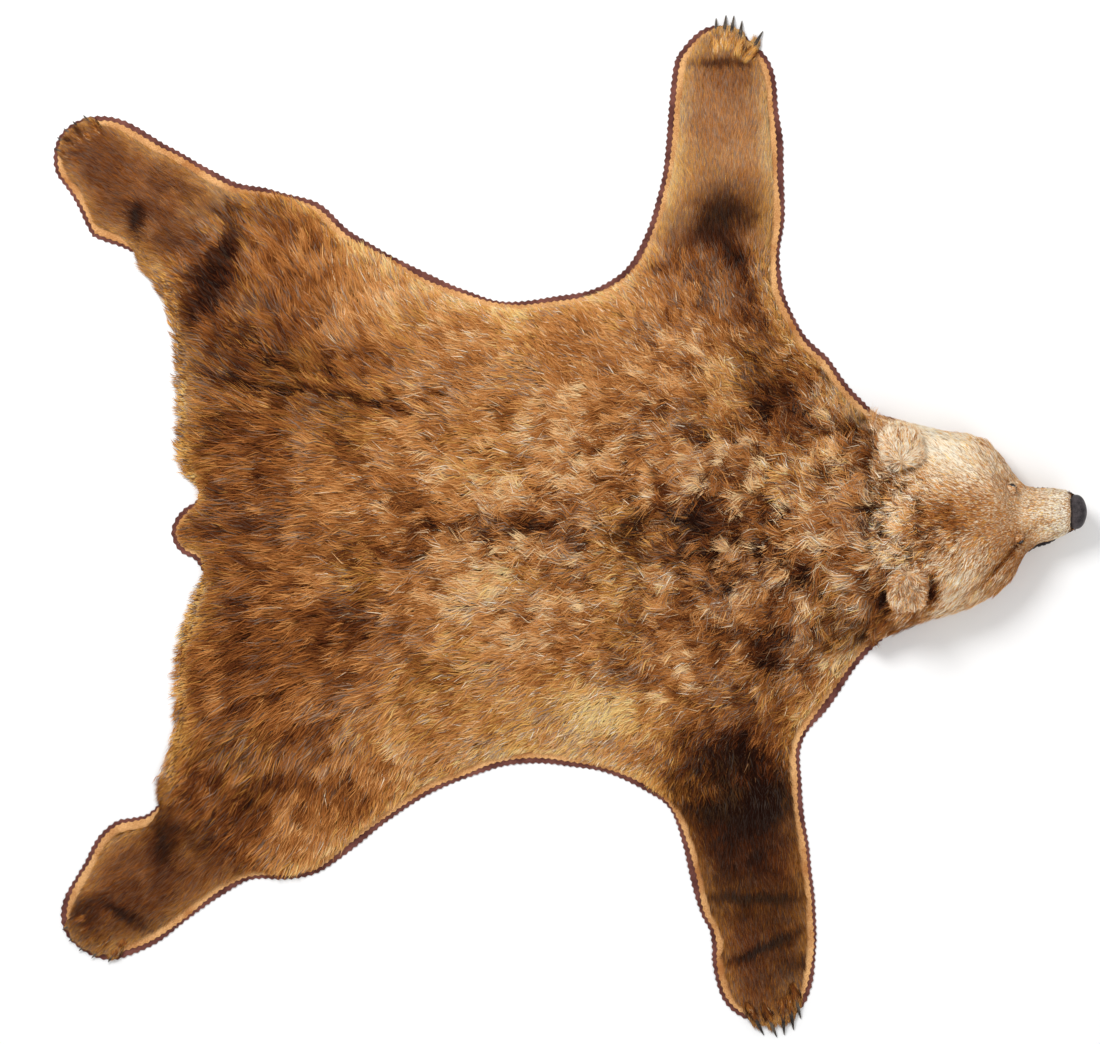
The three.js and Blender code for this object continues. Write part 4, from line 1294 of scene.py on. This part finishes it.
def buildNose():
    bm = ball(nose["segments"])
    low, high = (Vector(corner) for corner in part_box("nose"))
    centre = Vector((high.x - nose["size"][0] * mm, (low.y + high.y) / 2, (low.z + high.z) / 2))
    pushes = {}
    for v in bm.verts:
        v.co = Vector([v.co[k] * nose["size"][k] * mm for k in range(3)]) + centre
        local = (v.co - centre) / mm
        push = 0
        for nostril in nose["nostrils"]:
            away = [(local[k] - nostril[k] * nose["size"][k]) / nose["nostrilReach"] for k in range(3)]
            far = away[1] ** 2 + (nose["nostrilFlat"] * away[2]) ** 2
            push += nose["nostrilDepth"] * math.exp(-far) * (local.x > 0)
        pushes[v] = push
        groove = math.exp(-(local.y / nose["grooveReach"]) ** 2)
        push += nose["grooveDepth"] * groove * (local.z < 0) * (local.x > 0)
        v.co.x -= push * mm
    for face in bm.faces:
        # faces deep in the nostrils take the painted shade finish
        face.material_index = int(sum(pushes[v] for v in face.verts) / len(face.verts) > nose["shadedDeeperThan"])
    piece = finished("nose_pad", bm)
    shadeSmooth(piece)
    dress(piece, grainMaterial("noseLeather", **nose["padFinish"]), "nose_leather", "nose")
    # the second finish is painted shade in the nostril hollows
    piece.data.materials.append(grainMaterial("nostril", **nose["nostrilShadeFinish"]))


def buildLips(form):
    black = grainMaterial("lipSkin", **lips["finish"])
    tree = BVHTree.FromObject(form, bpy.context.evaluated_depsgraph_get())
    for name, side in (("lip_left", 1), ("lip_right", -1)):
        path = []
        for x in np.linspace(*lips["xRange"], lips["steps"]):
            middle = float(np.interp(x, *zip(*centreLine)))
            hits = []
            for z in (lips["z"], *lips["above"]):
                start = Vector((x, middle + side * lips["feelFrom"], z)) * mm
                hits.append(tree.ray_cast(start, Vector((0, -side, 0)))[0])
            if hits[0]:
                widest = max(side * hit.y for hit in hits if hit) / mm
                path.append((x, side * hits[0].y / mm - lips["inside"], widest))
        bm = bmesh.new()
        bmesh.ops.create_grid(bm, x_segments=len(path) - 1, y_segments=lips["round"], size=1)
        for v in bm.verts:
            step = round((v.co.x + 1) / 2 * (len(path) - 1))
            around = (v.co.y + 1) * math.pi
            run = min(max(step / (len(path) - 1), lips["endShare"]), 1 - lips["endShare"])
            share = math.sin(math.pi * run) ** 0.5
            x, inner, widest = path[step]
            short, long = (step * turn for turn in lips["raggedTurns"])
            ragged = lips["ragged"] * math.sin(short + side) * math.sin(long)
            outer = inner + (widest + lips["shown"][side] + ragged - inner) * share
            y = (inner + outer) / 2 + (outer - inner) / 2 * math.cos(around)
            v.co = Vector((x, side * y, lips["z"] + lips["tall"] * share * math.sin(around))) * mm
        bmesh.ops.remove_doubles(bm, verts=bm.verts, dist=weld)
        bmesh.ops.holes_fill(bm, edges=bm.edges, sides=lips["round"] + 2)
        bmesh.ops.recalc_face_normals(bm, faces=bm.faces)
        piece = finished(name, bm)
        shadeSmooth(piece)
        dress(piece, black, "nose_leather")


def buildHead():
    piece = remeshedCopy("head", "head_form", head["voxel"], head["smoothing"], head["keep"])
    shapeHead(piece)
    shadeSmooth(piece)
    faceSkin = grainMaterial("faceSkin", **head["skinFinish"])
    faceHair = hairMaterial("faceHair", head["rootShadeShare"])
    dress(piece, faceSkin, "face", "head")
    piece.data.materials.append(grainMaterial("darkSkin", **head["darkFinish"]))
    dark = head["noseHair"]
    for face in piece.data.polygons:
        x, _, z = face.center / mm
        face.material_index = int(x > dark["start"] + head["skinFrom"] and z > dark["above"])
    fur = growFace(piece)
    dress(fur, faceHair, "face")
    rng = np.random.default_rng(coat["seed"] + 2)
    for place in ears["places"]:
        buildEar(place, faceSkin, faceHair, rng)
    buildEyes(faceHair, rng)
    buildNose()
    buildLips(piece)
    print("head ready,", len(piece.data.polygons), "and", len(fur.data.polygons), "faces")


# Claws: dark horn with paler patches

claws = {
    "finish": dict(base=(30, 24, 22), worn=(104, 92, 80), patches=40, fibres=300,
                   bump=0.3, roughness=0.35),
    "rounding": 2,
    "baseShare": 0.2,  # this much of a claw's length counts as its base
    "rootShadeShare": 0.8,
    "look": dict(lift=(4, 20), finePitch=4),
    "hairs": 290,
    "rootRun": (-24, 3),  # where the hair over a claw starts, along the claw from its base
    "rootWide": 8,
    "sideFall": 0.35,  # how much lower it starts beside the claw
    "hairWidth": 1.2,
    "hair": dict(length=20, curl=0.05, cream=0.03, grey=0.1),
    "room": 60,
    "between": 0.5,  # painted shade between two toes: how much darker the hair is there, and how soon it gets so
    "fade": 16,
    "feet": {  # heading, tone, and share of golden hair
        "fore_left": (90, 0.68, 0.6),
        "fore_right": (-81, 0.28, 0.4),
        "hind_left": (146, 0.38, 0.2),
        "hind_right": (-138, 0.36, 0.2),
    },
}


def growToes(foot, bases, finish, rng):
    _, tone, golden = claws["feet"][foot]
    roots, turns, tones = [], [], []
    for base, way in bases:
        run = rng.uniform(*claws["rootRun"], claws["hairs"])[:, None]
        wide = rng.normal(0, claws["rootWide"] / 2, claws["hairs"])[:, None]
        aside = np.array([-way[1], way[0], 0])
        fall = np.abs(wide) * (0, 0, claws["sideFall"])
        roots.append(base + run * way * (1, 1, 0) + wide * aside - fall)
        turns.append(np.full(claws["hairs"], math.atan2(way[1], way[0])))
        # painted shade in the gaps between the toes, darker further from the claw's line
        dark = np.clip(np.abs(wide[:, 0]) / claws["rootWide"], 0, 1) ** 2
        dark *= np.clip((run[:, 0] - claws["rootRun"][0]) / claws["fade"], 0, 1)
        tones.append(tone - claws["between"] * dark)
    root = np.concatenate(roots)
    count = len(root)
    near = dict(heading=np.concatenate(turns), golden=golden, **claws["hair"])
    normal = np.tile([0.0, 0.0, 1.0], (count, 1))
    part = dict(width=claws["hairWidth"], bent=True)
    fur = growHair(f"toe_hair_{foot}", root, normal, near, claws["room"],
                   np.concatenate(tones), part, dict(coat, **claws["look"]), rng)
    dress(fur, finish, "coat")


def clawBase(piece, heading):
    points, _, _ = meshArrays(piece)
    middle = points.mean(axis=0)
    way = np.linalg.svd(points - middle, full_matrices=False)[2][0]
    ahead = np.array([math.cos(math.radians(heading)), math.sin(math.radians(heading)), 0])
    way = way if way @ ahead > 0 else -way
    run = (points - middle) @ way
    back = points[run < run.min() + claws["baseShare"] * (run.max() - run.min())]
    return np.append(back[:, :2].mean(axis=0), back[:, 2].max()), way


def buildClaws():
    horn = grainMaterial("clawHorn", **claws["finish"])
    toeHair = hairMaterial("toeHair", claws["rootShadeShare"])
    rng = np.random.default_rng(coat["seed"] + 3)
    for foot in claws["feet"]:
        bases = []
        for i in range(1, 6):
            node = f"claw_{foot}_{i}"
            piece = finished(f"horn_{foot}_{i}", mergedCopy(node))
            shadeSmooth(piece)
            rounder = piece.modifiers.new("rounder", "SUBSURF")
            rounder.levels = rounder.render_levels = claws["rounding"]
            applyModifiers(piece)
            bases.append(clawBase(piece, claws["feet"][foot][0]))
            dress(piece, horn, "claw_horn", node)
        growToes(foot, bases, toeHair, rng)
    print("claws ready")


def pieceMeshes():
    for piece in scene.collection.all_objects:
        if piece.type == "MESH" and not piece.hide_render and piece.name != "floor":
            piece.data.calc_loop_triangles()
            yield piece


buildStudio()
feltEdge = buildFelt()
pelt = buildSkin()
growCoat(pelt, feltEdge)
buildHead()
buildClaws()

added = sum(len(o.data.loop_triangles) for o in pieceMeshes())
print("triangles in all:", added)
